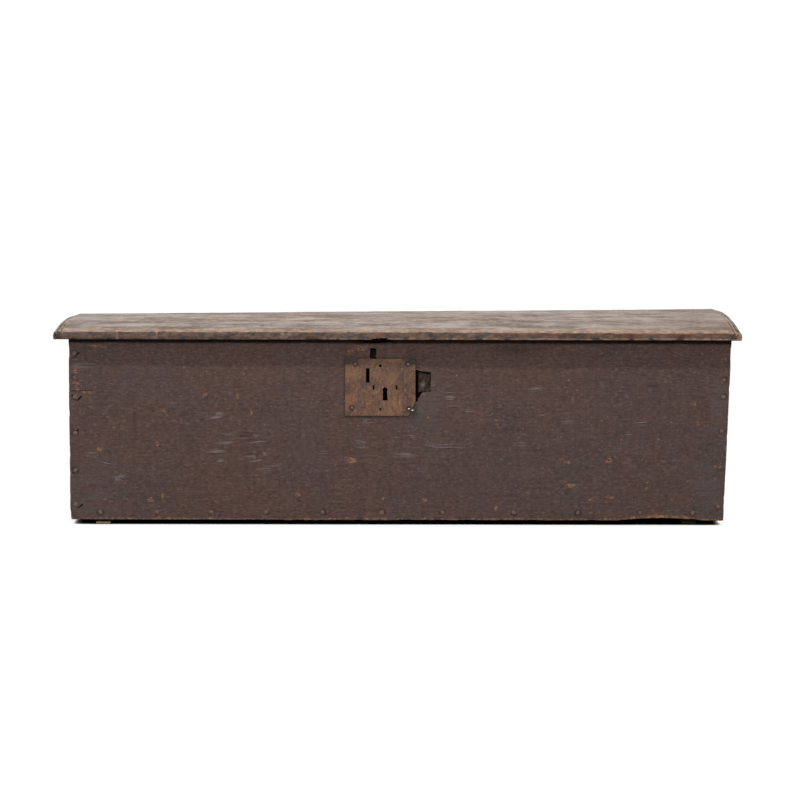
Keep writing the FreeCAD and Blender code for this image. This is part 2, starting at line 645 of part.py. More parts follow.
def make_nails():
    for side, face, way in (("front", "front_face", INTO_FRONT), ("back", "back_face", INTO_BACK)):
        left = [("left_face + end_thick / 2", face, along("runner_gap", "plank_top", share))
                for share in LEFT_NAIL_shares]
        right = [(along("right_foot", "right_face", share) + " - end_thick / 2", face,
                  along("runner_gap", "plank_top", share)) for share in RIGHT_NAIL_shares]
        foot = [(along("left_face", "right_foot", share), face, "bottom_middle")
                for share in FOOT_NAIL_shares]
        new_nails(f"{side}_left_nails", "plank_nail", way, left)
        new_nails(f"{side}_right_nails", "plank_nail", way, right)
        new_nails(f"{side}_foot_nails", "plank_nail", way, foot)

    depths = [along("front_inner", "back_inner", share) for share in END_NAIL_shares]
    new_nails("left_end_nails", "plank_nail", INTO_LEFT, [("left_face", y, "bottom_middle") for y in depths])
    outer = "right_foot + lean * (bottom_raise + bottom_thick / 2)"
    new_nails("right_end_nails", "plank_nail", INTO_RIGHT, [(outer, y, "bottom_middle") for y in depths])

    runner_middles = {
        "left_runner_nails": "left_face + runner_inset + runner_width / 2",
        "right_runner_nails": "right_foot - runner_inset - runner_width / 2",
    }
    for name, middle in runner_middles.items():
        seat_z = "runner_nail_sink + runner_nail_rise"
        new_nails(name, "runner_nail", UPWARDS, [(middle, y, seat_z) for y in depths])

    new_nails("lock_plate_nails", "plate_nail", INTO_FRONT,
              [(f"lock_x + plate_width / 2 * ({across})", "plate_front",
                f"lock_z + plate_height / 2 * ({up})") for across, up in PLATE_NAIL_shares])


def check_document():
    """Stops on a failed object or a bad shape."""
    doc.recompute()
    failed = [thing.Label for thing in doc.Objects if "Invalid" in thing.State or "Error" in thing.State]
    bad = [piece.Label for piece in pieces if piece.Shape.isNull() or not piece.Shape.isValid()]
    if failed or bad:
        raise RuntimeError(f"failed objects {failed}, bad shapes {bad}")


make_front()
make_back()
make_ends_and_bottom()
make_lid()
make_lock_plate()
make_lock_works()
for hinge_side in ("left", "right"):
    make_hinge(hinge_side)
make_nails()
check_document()

os.makedirs("parts", exist_ok=True)
for piece in pieces:
    piece.Shape.exportStep(f"parts/{piece.Label}.step")
    box = piece.Shape.BoundBox
    print(f"{piece.Label}: {len(piece.Shape.Solids)} solids, {piece.Shape.Volume / 1000:.2f} cm3,"
          f" X {box.XMin:.1f} to {box.XMax:.1f}, Y {box.YMin:.1f} to {box.YMax:.1f},"
          f" Z {box.ZMin:.1f} to {box.ZMax:.1f}")
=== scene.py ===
# Six plank chest: weathered boards, a cambered lid, hand-forged nails, a rusty lock and wrought hinges.
# Metres. X runs along the front, to the right; Y runs to the back; Z is up.

import math
import random

import bmesh
import bpy
import numpy as np
from mathutils import Euler, Matrix, Vector, noise


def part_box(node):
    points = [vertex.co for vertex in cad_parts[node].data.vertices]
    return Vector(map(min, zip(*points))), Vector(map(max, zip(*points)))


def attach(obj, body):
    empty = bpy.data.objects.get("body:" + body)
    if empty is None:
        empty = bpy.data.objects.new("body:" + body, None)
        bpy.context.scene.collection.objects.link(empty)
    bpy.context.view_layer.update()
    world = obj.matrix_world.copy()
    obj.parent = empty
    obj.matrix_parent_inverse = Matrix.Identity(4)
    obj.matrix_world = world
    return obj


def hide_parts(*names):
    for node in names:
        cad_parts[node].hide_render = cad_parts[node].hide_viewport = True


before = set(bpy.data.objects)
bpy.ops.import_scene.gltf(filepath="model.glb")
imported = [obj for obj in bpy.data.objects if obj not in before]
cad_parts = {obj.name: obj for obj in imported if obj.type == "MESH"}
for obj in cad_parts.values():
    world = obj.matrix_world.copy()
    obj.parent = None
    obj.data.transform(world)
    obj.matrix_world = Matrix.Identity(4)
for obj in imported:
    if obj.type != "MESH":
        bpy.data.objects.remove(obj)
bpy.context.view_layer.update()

# The same chances in each run
NAIL_SEED = 11
NOISE_SEED = 3
chance = random.Random(NAIL_SEED)
noise.seed_set(NOISE_SEED)

MM = 0.001
X, Y, Z = 0, 1, 2

# Ways in which nails are driven
INTO_FRONT, INTO_BACK = Vector((0, 1, 0)), Vector((0, -1, 0))
INTO_LEFT, INTO_RIGHT = Vector((1, 0, 0)), Vector((-1, 0, 0))
UPWARDS = Vector((0, 0, 1))

# How far a normal has to lie along an axis for a face to count as square to it
SQUARE = 0.9
# Angles from which on an edge is an arris, and up to which a face or a nail is shaded soft
ARRIS_ANGLE = math.radians(50)
SOFT_ANGLE = math.radians(40)
NAIL_ANGLE = math.radians(25)

# Cutters: how far they stand past a face, how coarse a chisel leaves them, and a millimetre to spare
FRONT_OVERRUN = 4 * MM
SEAT_OVERRUN = 2 * MM
CUTTER_OVERRUN = 3 * MM
CHISEL_GRAIN = 6 * MM
SPARE = 1 * MM
DRILL_SIDES = 20
# Points nearer than this become one, after a cut and in a piece taken from the frame
JOIN_GAP = 0.02 * MM
FRAME_JOIN_GAP = 0.01 * MM

# Boards
BOARD_CELL = 4 * MM
INNER_CELL = 8 * MM
BOARD_ARRIS = 2.2 * MM
ARRIS_STEPS = 3
PLANING = 0.5 * MM
PLANING_GRAIN = 90 * MM
PLANING_STRETCH = 3
BOTTOM_PLANING_share = 0.6
FRONT_ARRIS_WEAR = 1.6 * MM
BACK_ARRIS_WEAR = 1.4 * MM
ARRIS_DENTS = 22 * MM
FINE_DENT_share = 0.5
FINE_GRAIN_share = 0.3
PAINT_SKIN = 3 * MM
RIGHT_LEAN = 11 * MM
# Worn foot of the front: its height and depth, and its middle and half its length as shares of the front
FOOT_WEAR_REACH = 16 * MM
FOOT_WEAR = 4.5 * MM
FOOT_WEAR_shares = (0.905, 0.065)
FOOT_WAVE = 0.7 * MM
FOOT_WAVE_LENGTH = 70 * MM
CORNER_KNOCK = 2.2 * MM
RUNNER_ARRIS = 1.2 * MM
RUNNER_PLANING = 0.35 * MM
RUNNER_GRAIN = 30 * MM
RUNNER_FOOT = 2 * MM
RUNNER_WORN = 0.8
# Painted shade at the runners' front ends, under the chest: its strength and reach
RUNNER_PAINTED_SHADE = 1.2
RUNNER_PAINTED_SHADE_REACH = 30 * MM
HINGE_SEAT_ROOM = 0.3 * MM
HINGE_SEAT_DEPTH = 4.2 * MM

# Lid
LID_CELL = 5 * MM
LID_EDGE = 17 * MM
# Rise of the camber at the left end and at the right, and where its ridge lies across the lid
LID_CROWNS = (17 * MM, 27 * MM)
LID_RIDGE_shares = (0.5, 0.65)
LID_ARRIS = 3 * MM
LID_ARRIS_ROOM = 0.1 * MM
LID_ARRIS_WEAR = 2.4 * MM
LID_ARRIS_DENTS = 15 * MM
# Waves in its faces: depth, length, and how far they are drawn out along it
LID_WAVES = ((0.7 * MM, 70 * MM, 4), (0.45 * MM, 14 * MM, 2))
LID_FOOT = 1.5 * MM
LID_FOOT_FADE = 3 * MM
LID_LIP = 6 * MM
LID_LIP_DROP = 5 * MM
# Moulded ends of the lid: how far in from the end, and how far below the camber
MOULDING_INSETS = (0, 5 * MM, 6.25 * MM, 7.5 * MM, 8.75 * MM, 10.5 * MM, 12.5 * MM, 13.75 * MM, 15 * MM,
                   16.25 * MM)
MOULDING_DROPS = (5 * MM, 4.2 * MM, 6 * MM, 6 * MM, 3 * MM, 2 * MM, 2.8 * MM, 4.6 * MM, 4.6 * MM, 0)
# Ridges of the moulding that are worn light, and quirks that hold dirt: how far in from the end
MOULDING_RIDGES = (10.5 * MM, 17.5 * MM)
MOULDING_QUIRKS = (7 * MM, 14.4 * MM)
# Spacing of the cuts across a moulded end, where they stop, and how far from the front the moulding is full
MOULDING_STEP = 1.25 * MM
MOULDING_END = 20 * MM
MOULDING_FADE = 8 * MM
LID_EDGE_ROWS = (3 * MM, 8 * MM, 11 * MM)
# Front corners that stand out a little, and the right end that stands out further
LID_KNOB = 0.5 * MM
LID_KNOB_REACH = 14 * MM
LID_STRETCH = 2 * MM
LID_STRETCH_REACH = 60 * MM
LID_NICK_shares = (0.094, 0.150, 0.343, 0.521, 0.796)
LID_SKEW = 1.5 * MM
CHIP_MIDDLE = -29 * MM
CHIP_WIDTH = 38 * MM
CHIP_HEIGHT = 4 * MM
CHIP_DEPTH = 10 * MM
CHIP_TAPER_share = 0.55
CHIP_WANDER = 1.2 * MM
# Inside the chip: how far past its height and depth, how far up from the underside, and behind the front
CHIP_ROOM = (4 * MM, 3 * MM)
CHIP_START = 0.2 * MM
CHIP_SKIN = 2.5 * MM
CHIP_OVERHANG = 0.2
# Marks on the lid: how thick its edge, front, underside and top count, and how far wear and dirt reach
LID_EDGE_SKIN = 2.6 * MM
LID_EDGE_START = 0.5 * MM
LID_FRONT_SKIN = 4 * MM
LID_UNDER_SKIN = 0.6 * MM
LID_TOP_SKIN = 2 * MM
LID_WEAR_REACH = 7 * MM
LID_FOOT_WORN = 1.1
LID_RIDGE_REACH = 3 * MM
LID_NICK_REACH = 6 * MM
LID_CORNER_REACH = 12 * MM
LID_CORNER_WORN = 1.2
LID_FRONT_REACH = 70 * MM
LID_FRONT_WORN = 0.78
LID_END_REACH = 14 * MM
LID_END_DIRT = 1.6
LID_END_START = 3 * MM
LID_QUIRK_REACH = 1.6 * MM

# Lock, from the middle of its plate
PLATE_CELL = 2 * MM
PLATE_ARRIS = 0.35 * MM
# Waves in its face: depth and length
PLATE_WAVES = ((0.25 * MM, 34 * MM), (0.12 * MM, 5 * MM))
PLATE_RIM = 1 * MM
PLATE_RIM_WANDER = 0.4 * MM
PLATE_RIM_GRAINS = (9 * MM, 11 * MM)
PLATE_NAIL_REACH = 11 * MM
PLATE_CORNER_REACH = 22 * MM
PLATE_CORNER_STAIN = 0.95
# Width and height of the cut corner
PLATE_CUT = (13 * MM, 27 * MM)
SLOT_PLACE = (-23.6 * MM, 22.7 * MM)
SLOT_SIZE = (6.8 * MM, 27 * MM)
KEY_PLACE = (9.2 * MM, -4.3 * MM)
KEY_HEAD = 9.4 * MM
KEY_WAIST = 7.4 * MM
KEY_FOOT = 9.4 * MM
KEY_DROP = 20.3 * MM
WARD_REACH = 21.7 * MM
WARD_SIZE = (3.4 * MM, 8.4 * MM)
# Empty nail holes: how far above the middle, and the diameter
EMPTY_HOLES = ((41 * MM, 5.2 * MM), (-41 * MM, 4.2 * MM))
EMPTY_HOLE_DEPTH = 15 * MM
MORTISE_LEFT = -32 * MM
MORTISE_RIGHT = 64 * MM
SLIT_RIGHT = 71 * MM
SLIT_TOP = 33 * MM
MORTISE_FOOT = -26.6 * MM
MORTISE_TOP = 38.1 * MM
MORTISE_DEPTH = 17.5 * MM
RECESS_RIGHT = 95.5 * MM
RECESS_TOP = 28.6 * MM
RECESS_FOOT = -9.3 * MM
# Depth of the recess at its foot and at its top
RECESS_DEPTHS = (9 * MM, 17 * MM)
RECESS_SLANT = 4 * MM
RECESS_WANDER = 1.6 * MM
# Painted highlight on the recess floor: its place, size and strength; then the grey of the bare wood there
RECESS_LIGHT = (82 * MM, 5 * MM)
RECESS_LIGHT_SIZE = (17 * MM, 17 * MM)
RECESS_LIGHT_STRENGTH = 1.2
RECESS_GREY = 0.4
# Slanting cut under the recess: its right side at the top and at the foot, and its depth
WEDGE_RIGHTS = (81 * MM, 68 * MM)
WEDGE_DEPTH = 8 * MM
WEDGE_WANDER = 1.2 * MM
CUT_SKIN = 2.5 * MM
CUT_REACH = 110 * MM
NOTCH_LEFT = -19.5 * MM
NOTCH_WIDTH = 12 * MM
NOTCH_TOP = 74 * MM
NOTCH_DEPTH = 14 * MM
NOTCH_WANDER = 2.2 * MM
NOTCH_SKIN = 2 * MM
NOTCH_GREY = 0.1
HOLLOW_MIDDLE = -7.5 * MM
HOLLOW_WIDTH = 76 * MM
HOLLOW_DEPTH = 7.5 * MM
HOLLOW_REACH = 13 * MM
HOLLOW_WANDER = 0.5 * MM
HOLLOW_SKIN = 2 * MM

# Nails: diameter of the head, its rise, the shank, the length
PLANK_NAIL = (9 * MM, 2 * MM, 4.4 * MM, 58 * MM)
RUNNER_NAIL = (8 * MM, 1.6 * MM, 3.8 * MM, 26 * MM)
PLATE_NAIL = (7 * MM, 1.8 * MM, 3 * MM, 18 * MM)
HINGE_NAIL = (8.5 * MM, 2 * MM, 3.6 * MM, 17 * MM)
NAIL_SIDES = 9
NAIL_WANDER = 0.3 * MM
NAIL_RIM_share = 0.5
# Slopes of the head: shares of its diameter inwards and of its rise upwards
NAIL_SLOPE_shares = ((0.13, 0.28), (0.15, 0.18))
NAIL_PEAK_share = 0.04
# Share of the rise above which the crown of a head is drawn light: wear, and a painted highlight
NAIL_WORN_CROWN_HIGHLIGHT_share = 0.6
# Stretches of the shank: shares of its length, and how much of its width is left
NAIL_SHANK_shares = ((0.75, 0.7), (0.25, 0.3))
# How far each head is hammered out of round, along, across and flat
NAIL_SQUASH_shares = ((0.85, 1.2), (0.75, 1.05), (0.4, 0.7))
NAIL_UNDERSIDE = 0.01 * MM
NAIL_APART_share = 1.3
FRONT_NAILS = ("front_left_nails", "front_right_nails", "front_foot_nails")
BACK_NAILS = ("back_left_nails", "back_right_nails", "back_foot_nails")
BRIGHT_NAIL_REACH = 30 * MM
PLATE_HEAD_share = 0.75
BRIGHT_HEAD_share = 0.58

# Marks on the front: shares of its length from the left and of its height from the foot
# Pale scratches: place, length in millimetres and climb
SCRATCHES = [
    (0.222, 0.566, 32, 0.17), (0.228, 0.587, 16, 0.05), (0.261, 0.463, 68, -0.10),
    (0.270, 0.480, 50, -0.08), (0.243, 0.424, 46, 0.03), (0.223, 0.376, 34, 0.03),
    (0.230, 0.325, 14, 0.20), (0.276, 0.362, 30, 0.00), (0.288, 0.363, 38, 0.08),
    (0.297, 0.382, 28, 0.12), (0.285, 0.336, 26, 0.10), (0.303, 0.293, 52, 0.06),
    (0.288, 0.441, 42, 0.12), (0.056, 0.311, 30, -0.20), (0.075, 0.239, 32, 0.12),
    (0.072, 0.224, 26, 0.12), (0.452, 0.541, 28, 0.12), (0.447, 0.403, 24, 0.00),
    (0.444, 0.435, 22, -0.15), (0.385, 0.374, 16, 0.00), (0.511, 0.368, 58, -0.01),
    (0.549, 0.420, 30, -0.25), (0.576, 0.411, 66, 0.02), (0.521, 0.471, 12, 0.00),
    (0.576, 0.732, 18, 0.03), (0.576, 0.713, 20, 0.03), (0.577, 0.693, 18, 0.03),
    (0.576, 0.675, 18, 0.03), (0.549, 0.753, 16, 0.15), (0.707, 0.729, 32, 0.06),
    (0.721, 0.586, 20, 0.20), (0.755, 0.550, 26, -0.03), (0.687, 0.426, 16, 0.00),
    (0.849, 0.480, 14, -0.05), (0.870, 0.545, 20, 0.02), (0.022, 0.854, 50, 0.00),
    (0.033, 0.363, 26, 0.03), (0.586, 0.640, 34, 0.04), (0.605, 0.612, 18, -0.04),
    (0.452, 0.553, 20, 0.14),
]
SCRATCH_HEIGHT = 10 * MM
SCRATCH_BAND = 40 * MM
# Spots rubbed through to orange wood: place, length and height in millimetres
RUBBED_SPOTS = [
    (0.263, 0.814, 9, 8), (0.255, 0.686, 5, 12), (0.206, 0.693, 9, 8), (0.142, 0.606, 10, 8),
    (0.148, 0.584, 8, 6), (0.068, 0.511, 6, 5), (0.277, 0.599, 5, 16), (0.174, 0.847, 4, 4),
    (0.133, 0.420, 4, 14), (0.142, 0.131, 6, 22), (0.046, 0.394, 12, 9), (0.053, 0.110, 4, 8),
    (0.123, 0.114, 16, 8), (0.424, 0.347, 12, 6), (0.428, 0.330, 24, 12), (0.478, 0.119, 4, 10),
    (0.348, 0.140, 10, 8), (0.541, 0.112, 12, 10), (0.648, 0.557, 6, 6), (0.650, 0.532, 6, 8),
    (0.756, 0.774, 8, 5), (0.678, 0.774, 6, 7), (0.748, 0.341, 9, 5), (0.760, 0.326, 18, 4),
    (0.821, 0.336, 12, 14), (0.872, 0.343, 8, 5), (0.895, 0.313, 9, 5), (0.765, 0.195, 32, 4),
    (0.798, 0.117, 18, 5), (0.824, 0.131, 26, 4), (0.881, 0.215, 7, 9), (0.880, 0.180, 8, 5),
    (0.651, 0.073, 6, 16), (0.648, 0.008, 8, 5), (0.988, 0.780, 9, 9), (0.902, 0.780, 5, 5),
    (0.949, 0.646, 4, 12), (0.903, 0.022, 62, 10), (0.011, 0.825, 16, 11), (0.011, 0.757, 14, 8),
    (0.012, 0.724, 16, 6), (0.028, 0.705, 28, 4), (0.535, 0.703, 14, 5), (0.544, 0.573, 8, 5),
    (0.796, 0.045, 12, 6), (0.440, 0.952, 26, 10), (0.425, 0.930, 12, 8), (0.044, 0.960, 44, 5),
    (0.983, 0.300, 6, 10), (0.988, 0.892, 8, 7),
]
RUB_SPREAD = 1.5
# Light dents: place
SPECKS = [
    (0.060, 0.785), (0.063, 0.755), (0.085, 0.757), (0.143, 0.779), (0.162, 0.783), (0.241, 0.792),
    (0.051, 0.907), (0.200, 0.586), (0.087, 0.120), (0.065, 0.106), (0.069, 0.058), (0.747, 0.465),
    (0.896, 0.452), (0.782, 0.318), (0.942, 0.219), (0.822, 0.158), (0.939, 0.180), (0.284, 0.642),
    (0.023, 0.595), (0.253, 0.657), (0.360, 0.642), (0.375, 0.606), (0.366, 0.215), (0.633, 0.604),
    (0.642, 0.591), (0.675, 0.607), (0.728, 0.519), (0.808, 0.554), (0.769, 0.721), (0.763, 0.671),
    (0.846, 0.690), (0.919, 0.635), (0.914, 0.545), (0.895, 0.455), (0.972, 0.946), (0.442, 0.948),
    (0.689, 0.511), (0.662, 0.109), (0.653, 0.640), (0.586, 0.799), (0.849, 0.482), (0.980, 0.775),
]
SPECK_SIZE = 9 * MM
SMALLEST_MARK = 9 * MM
# Dark smudges: place, length and height in millimetres, and strength
SMUDGES = [(0.680, 0.945, 110, 22, 0.6), (0.100, 0.540, 10, 70, 0.45), (0.537, 0.899, 16, 9, 0.7),
           (0.880, 0.747, 34, 6, 0.6), (0.933, 0.390, 26, 10, 0.5), (0.520, 0.900, 44, 30, 0.45)]
# Scraped and scuffed patches: place, length and height in millimetres
SCRAPED_PATCHES = [(0.542, 0.630, 80, 120), (0.030, 0.150, 130, 130),
                   (0.975, 0.180, 70, 150), (0.985, 0.650, 40, 130)]
MARK_STRENGTH = 1.25
SPLIT_RISE_share = 0.712
SPLIT_LENGTH = 46 * MM
SPLIT_OPENING = 3 * MM
SPLIT_DEPTH = 5 * MM
SPLIT_TAPER_shares = (1, 0.3, 0.1)
# Gouges beside the nails of the left edge: place, length and slope
GOUGES = [(0.0130, 0.915, 14 * MM, 35), (0.0075, 0.676, 13 * MM, -58), (0.0160, 0.672, 14 * MM, 50),
          (0.0110, 0.490, 13 * MM, 40), (0.0157, 0.075, 15 * MM, 38), (0.0055, 0.262, 9 * MM, 75)]
GOUGE_WIDTH = 3 * MM
GOUGE_DEPTH = 3.5 * MM
# Painted black shade in the gouges and the split: its depths, and the shares of the front within which it
# lies
PIT_DEPTHS = (1.2 * MM, 8 * MM)
PIT_ALONG_shares = (0.005, 0.995)
PIT_UP_shares = (0.03, 0.985)
# Painted shade along the top of the front, under the lid: how far down it reaches and how soft its lower
# edge is
UNDER_LID_SHADE_BAND = 9 * MM
UNDER_LID_SHADE_FADE = 3 * MM
# Painted shade round the lock plate: how far it reaches and how dark it is at the rim
PLATE_SHADE_REACH = 9 * MM
PLATE_SHADE = 0.7
FRONT_WEAR_REACH = 7 * MM
FRONT_WORN = 0.95
FOOT_WORN = 1.3
NAIL_REACH = 20 * MM
WEAR_REACH = 9 * MM
PLATE_WEAR_REACH = 3 * MM
PLATE_WORN = 0.8
# Worn front end of the left runner, under the front
NOSE_LENGTH = 21 * MM
NOSE_HEIGHT = 5 * MM

# Finishes: levels of a screen, and how deep and how strong their relief is
LEVELS = 255
SCREEN_GAMMA = 2.2
PAINT_RELIEF = 0.7 * MM
WOOD_RELIEF = 0.8 * MM
STEEL_RELIEF = 0.2 * MM
RELIEF = 0.6
STEEL_SOFTNESS = 0.5

# Hinges: each part's body, the way of its nails, the size of its smallest form and how deep it is hammered
HINGE_PARTS = (("strap", "lid", UPWARDS, 1.1 * MM, 0.35 * MM),
               ("leaf", "chest", INTO_BACK, 0.9 * MM, 0.25 * MM))
HAMMER_GRAIN = 7 * MM

# Camera, as the photograph was taken
CAMERA_PLACE = (-0.008, -4.589, 0.651)
CAMERA_PITCH = math.radians(5.36)
CAMERA_YAW = math.radians(0.18)
CAMERA_ROLL = math.radians(0.13)
FOCAL_PIXELS = 2341
IMAGE_PIXELS = 800
SENSOR = 36

# Studio: how bright the white room looks and how much it lights, and the lamps' places, sizes and powers
ROOM_SHOWS = 1.05
ROOM_LIGHTS = 0.35
LAMP_AIM = (0, -0.19, 0.3)
FRONT_LAMP_PLACE = (-0.4, -4.4, 1.8)
FRONT_LAMP = (3.0, 0.45, 111)
TOP_LAMP_PLACE = (0, -1.6, 3.33)
TOP_LAMP = (2.4, 0.12, 76)
FLOOR_SIZE = 24
# Floor: how bright it glows to the camera, and how far the painted shade of the chest reaches
FLOOR_SHOWS = 1.03
FLOOR_SHADE_NEAR = 0.3
FLOOR_SHADE_FAR = 0.6


# Bench work

def put_down():
    """Leaves edit mode and lets go of everything."""
    if bpy.context.mode != "OBJECT":
        bpy.ops.object.mode_set(mode="OBJECT")
    bpy.ops.object.select_all(action="DESELECT")


def take(piece):
    """Makes one piece the only one in hand."""
    put_down()
    piece.select_set(True)
    bpy.context.view_layer.objects.active = piece


def open_up(piece, kind):
    """Edit mode on faces, edges or points, with none of them selected."""
    take(piece)
    bpy.ops.object.mode_set(mode="EDIT")
    bpy.ops.mesh.select_mode(type=kind)
    bpy.ops.mesh.select_all(action="DESELECT")


def pick_faces(piece, rule):
    """Selects the faces whose middle and normal keep a rule."""
    open_up(piece, "FACE")
    mesh = bmesh.from_edit_mesh(piece.data)
    for face in mesh.faces:
        if rule(face.calc_center_median(), face.normal):
            face.select_set(True)
    bmesh.update_edit_mesh(piece.data)


def settle(piece):
    """Puts a piece's place, turn and size into its mesh."""
    take(piece)
    bpy.ops.object.transform_apply(location=True, rotation=True, scale=True)


def finish_with(piece, kind, **settings):
    """Adds a modifier, sets it and applies it."""
    take(piece)
    bpy.ops.object.modifier_add(type=kind)
    modifier = piece.modifiers[-1]
    for name, value in settings.items():
        setattr(modifier, name, value)
    bpy.ops.object.modifier_apply(modifier=modifier.name)


def draw_out(way):
    """Extrudes what is selected along a way."""
    bpy.ops.mesh.extrude_region_move(TRANSFORM_OT_translate={"value": way})


def face_out(piece):
    """Turns a closed shell's faces outwards."""
    open_up(piece, "FACE")
    bpy.ops.mesh.select_all(action="SELECT")
    bpy.ops.mesh.normals_make_consistent(inside=False)
    if bmesh.from_edit_mesh(piece.data).calc_volume(signed=True) < 0:
        bpy.ops.mesh.flip_normals()
    put_down()


def new_block(name, low, high):
    """A block between two corners."""
    put_down()
    bpy.ops.mesh.primitive_cube_add(size=1, location=(Vector(low) + Vector(high)) / 2)
    block = bpy.context.object
    block.name = name
    block.scale = Vector(high) - Vector(low)
    settle(block)
    return block


def cut(piece, *cutters):
    """Takes the shape of cutters that lie apart from each other out of a piece, and throws them away."""
    put_down()
    for cutter in cutters:
        cutter.select_set(True)
    tool = cutters[0]
    bpy.context.view_layer.objects.active = tool
    if len(cutters) > 1:
        bpy.ops.object.join()
    finish_with(piece, "BOOLEAN", operation="DIFFERENCE", solver="EXACT", object=tool)
    bpy.data.objects.remove(tool)


def close_up(piece):
    """Joins points that lie together after cutting, takes flaps away and fills what is left open."""
    open_up(piece, "VERT")
    bpy.ops.mesh.select_all(action="SELECT")
    bpy.ops.mesh.remove_doubles(threshold=JOIN_GAP)
    bpy.ops.mesh.quads_convert_to_tris(quad_method="BEAUTY", ngon_method="BEAUTY")
    bpy.ops.mesh.select_mode(type="FACE")
    bpy.ops.mesh.select_all(action="DESELECT")
    mesh = bmesh.from_edit_mesh(piece.data)
    corners = {}
    for face in mesh.faces:
        corners.setdefault(frozenset(face.verts), []).append(face)
    for twins in corners.values():
        for face in twins:
            face.select_set(len(twins) > 1 or sum(edge.is_boundary for edge in face.edges) > 1)
    bmesh.update_edit_mesh(piece.data)
    bpy.ops.mesh.delete(type="FACE")
    bpy.ops.mesh.select_all(action="SELECT")
    bpy.ops.mesh.fill_holes(sides=0)
    put_down()


def roughen(cutter, cuts, wander):
    """Makes a cutter's sides uneven, as a chisel leaves them."""
    open_up(cutter, "FACE")
    bpy.ops.mesh.select_all(action="SELECT")
    bpy.ops.mesh.subdivide(number_cuts=cuts)
    put_down()
    for vertex in cutter.data.vertices:
        vertex.co += wander * noise.noise_vector(vertex.co / CHISEL_GRAIN)


def ease_arrises(piece, width, where=None):
    """Rounds the sharp edges, or those that keep a rule, and puts their points in the group arris."""
    open_up(piece, "EDGE")
    bpy.ops.mesh.edges_select_sharp(sharpness=ARRIS_ANGLE)
    if where:
        mesh = bmesh.from_edit_mesh(piece.data)
        for edge in mesh.edges:
            if edge.select and not where((edge.verts[0].co + edge.verts[1].co) / 2):
                edge.select_set(False)
        bmesh.update_edit_mesh(piece.data)
    bpy.ops.mesh.bevel(offset=width, segments=ARRIS_STEPS, affect="EDGES")
    piece.vertex_groups.new(name="arris")
    bpy.ops.object.vertex_group_assign()
    put_down()


def saw_board(name, low, high, thin, cell, arris=BOARD_ARRIS):
    """A board between two corners: a grid on its broad face, drawn out along its thin axis."""
    size = high - low
    turn, wide, tall = {X: ((0, math.pi / 2, 0), size.z, size.y),
                        Y: ((math.pi / 2, 0, 0), size.x, size.z),
                        Z: ((0, 0, 0), size.x, size.y)}[thin]
    start = (low + high) / 2
    start[thin] = low[thin]
    put_down()
    bpy.ops.mesh.primitive_grid_add(x_subdivisions=round(wide / cell), y_subdivisions=round(tall / cell),
                                    size=1, location=start, rotation=turn)
    board = bpy.context.object
    board.name = name
    board.scale = (wide, tall, 1)
    settle(board)
    way = Vector((0, 0, 0))
    way[thin] = size[thin]
    open_up(board, "FACE")
    bpy.ops.mesh.select_all(action="SELECT")
    draw_out(way)
    face_out(board)
    ease_arrises(board, arris)
    return board


def weather(piece, depth, grain, stretch=(1, 1, 1), where=None):
    """Moves each point along its normal by a slow noise, as on a face planed by hand."""
    mesh = piece.data
    places = []
    for vertex in mesh.vertices:
        spot = Vector([place / (grain * far) for place, far in zip(vertex.co, stretch)])
        share = where(vertex.co) if where else 1
        places.append(vertex.co + vertex.normal * (depth * share * noise.noise(spot)))
    for vertex, place in zip(mesh.vertices, places):
        vertex.co = place


def wear_arris(piece, depth, grain):
    """Wears the arrises down, here and there."""
    mesh = piece.data
    group = piece.vertex_groups["arris"].index
    places = {}
    for vertex in mesh.vertices:
        if any(member.group == group for member in vertex.groups):
            small = FINE_DENT_share * noise.noise(vertex.co / (grain * FINE_GRAIN_share))
            dent = max(0, noise.noise(vertex.co / grain) + small)
            places[vertex.index] = vertex.co - vertex.normal * (depth * dent)
    for index, place in places.items():
        mesh.vertices[index].co = place


def points(piece):
    """A piece's points as rows of numbers."""
    rows = np.empty(len(piece.data.vertices) * 3, np.float32)
    piece.data.vertices.foreach_get("co", rows)
    return rows.reshape(-1, 3)


def mark(piece, name, values):
    """Keeps one number per point of a piece, for its finish to read."""
    layer = piece.data.attributes.new(name, "FLOAT", "POINT")
    layer.data.foreach_set("value", np.clip(values, 0, 1).astype(np.float32))


def shade(piece, angle=SOFT_ANGLE):
    """Shades a piece smooth, but for its sharper edges."""
    take(piece)
    bpy.ops.object.shade_smooth_by_angle(angle=angle)


def dress(piece, body, slot, finishes, *nodes):
    """Gives a piece its finishes and its place in the frame."""
    piece.data.materials.clear()
    for finish in finishes:
        piece.data.materials.append(finish)
    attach(piece, body)
    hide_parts(*nodes)


def second_finish(piece, rule):
    """Gives the faces whose middle and normal keep a rule the second of a piece's finishes."""
    for face in piece.data.polygons:
        if rule(face.center, face.normal):
            face.material_index = 1


# Finishes

def tone(red, green, blue):
    """A colour given in screen levels from 0 to 255."""
    return tuple((level / LEVELS) ** SCREEN_GAMMA for level in (red, green, blue)) + (1,)


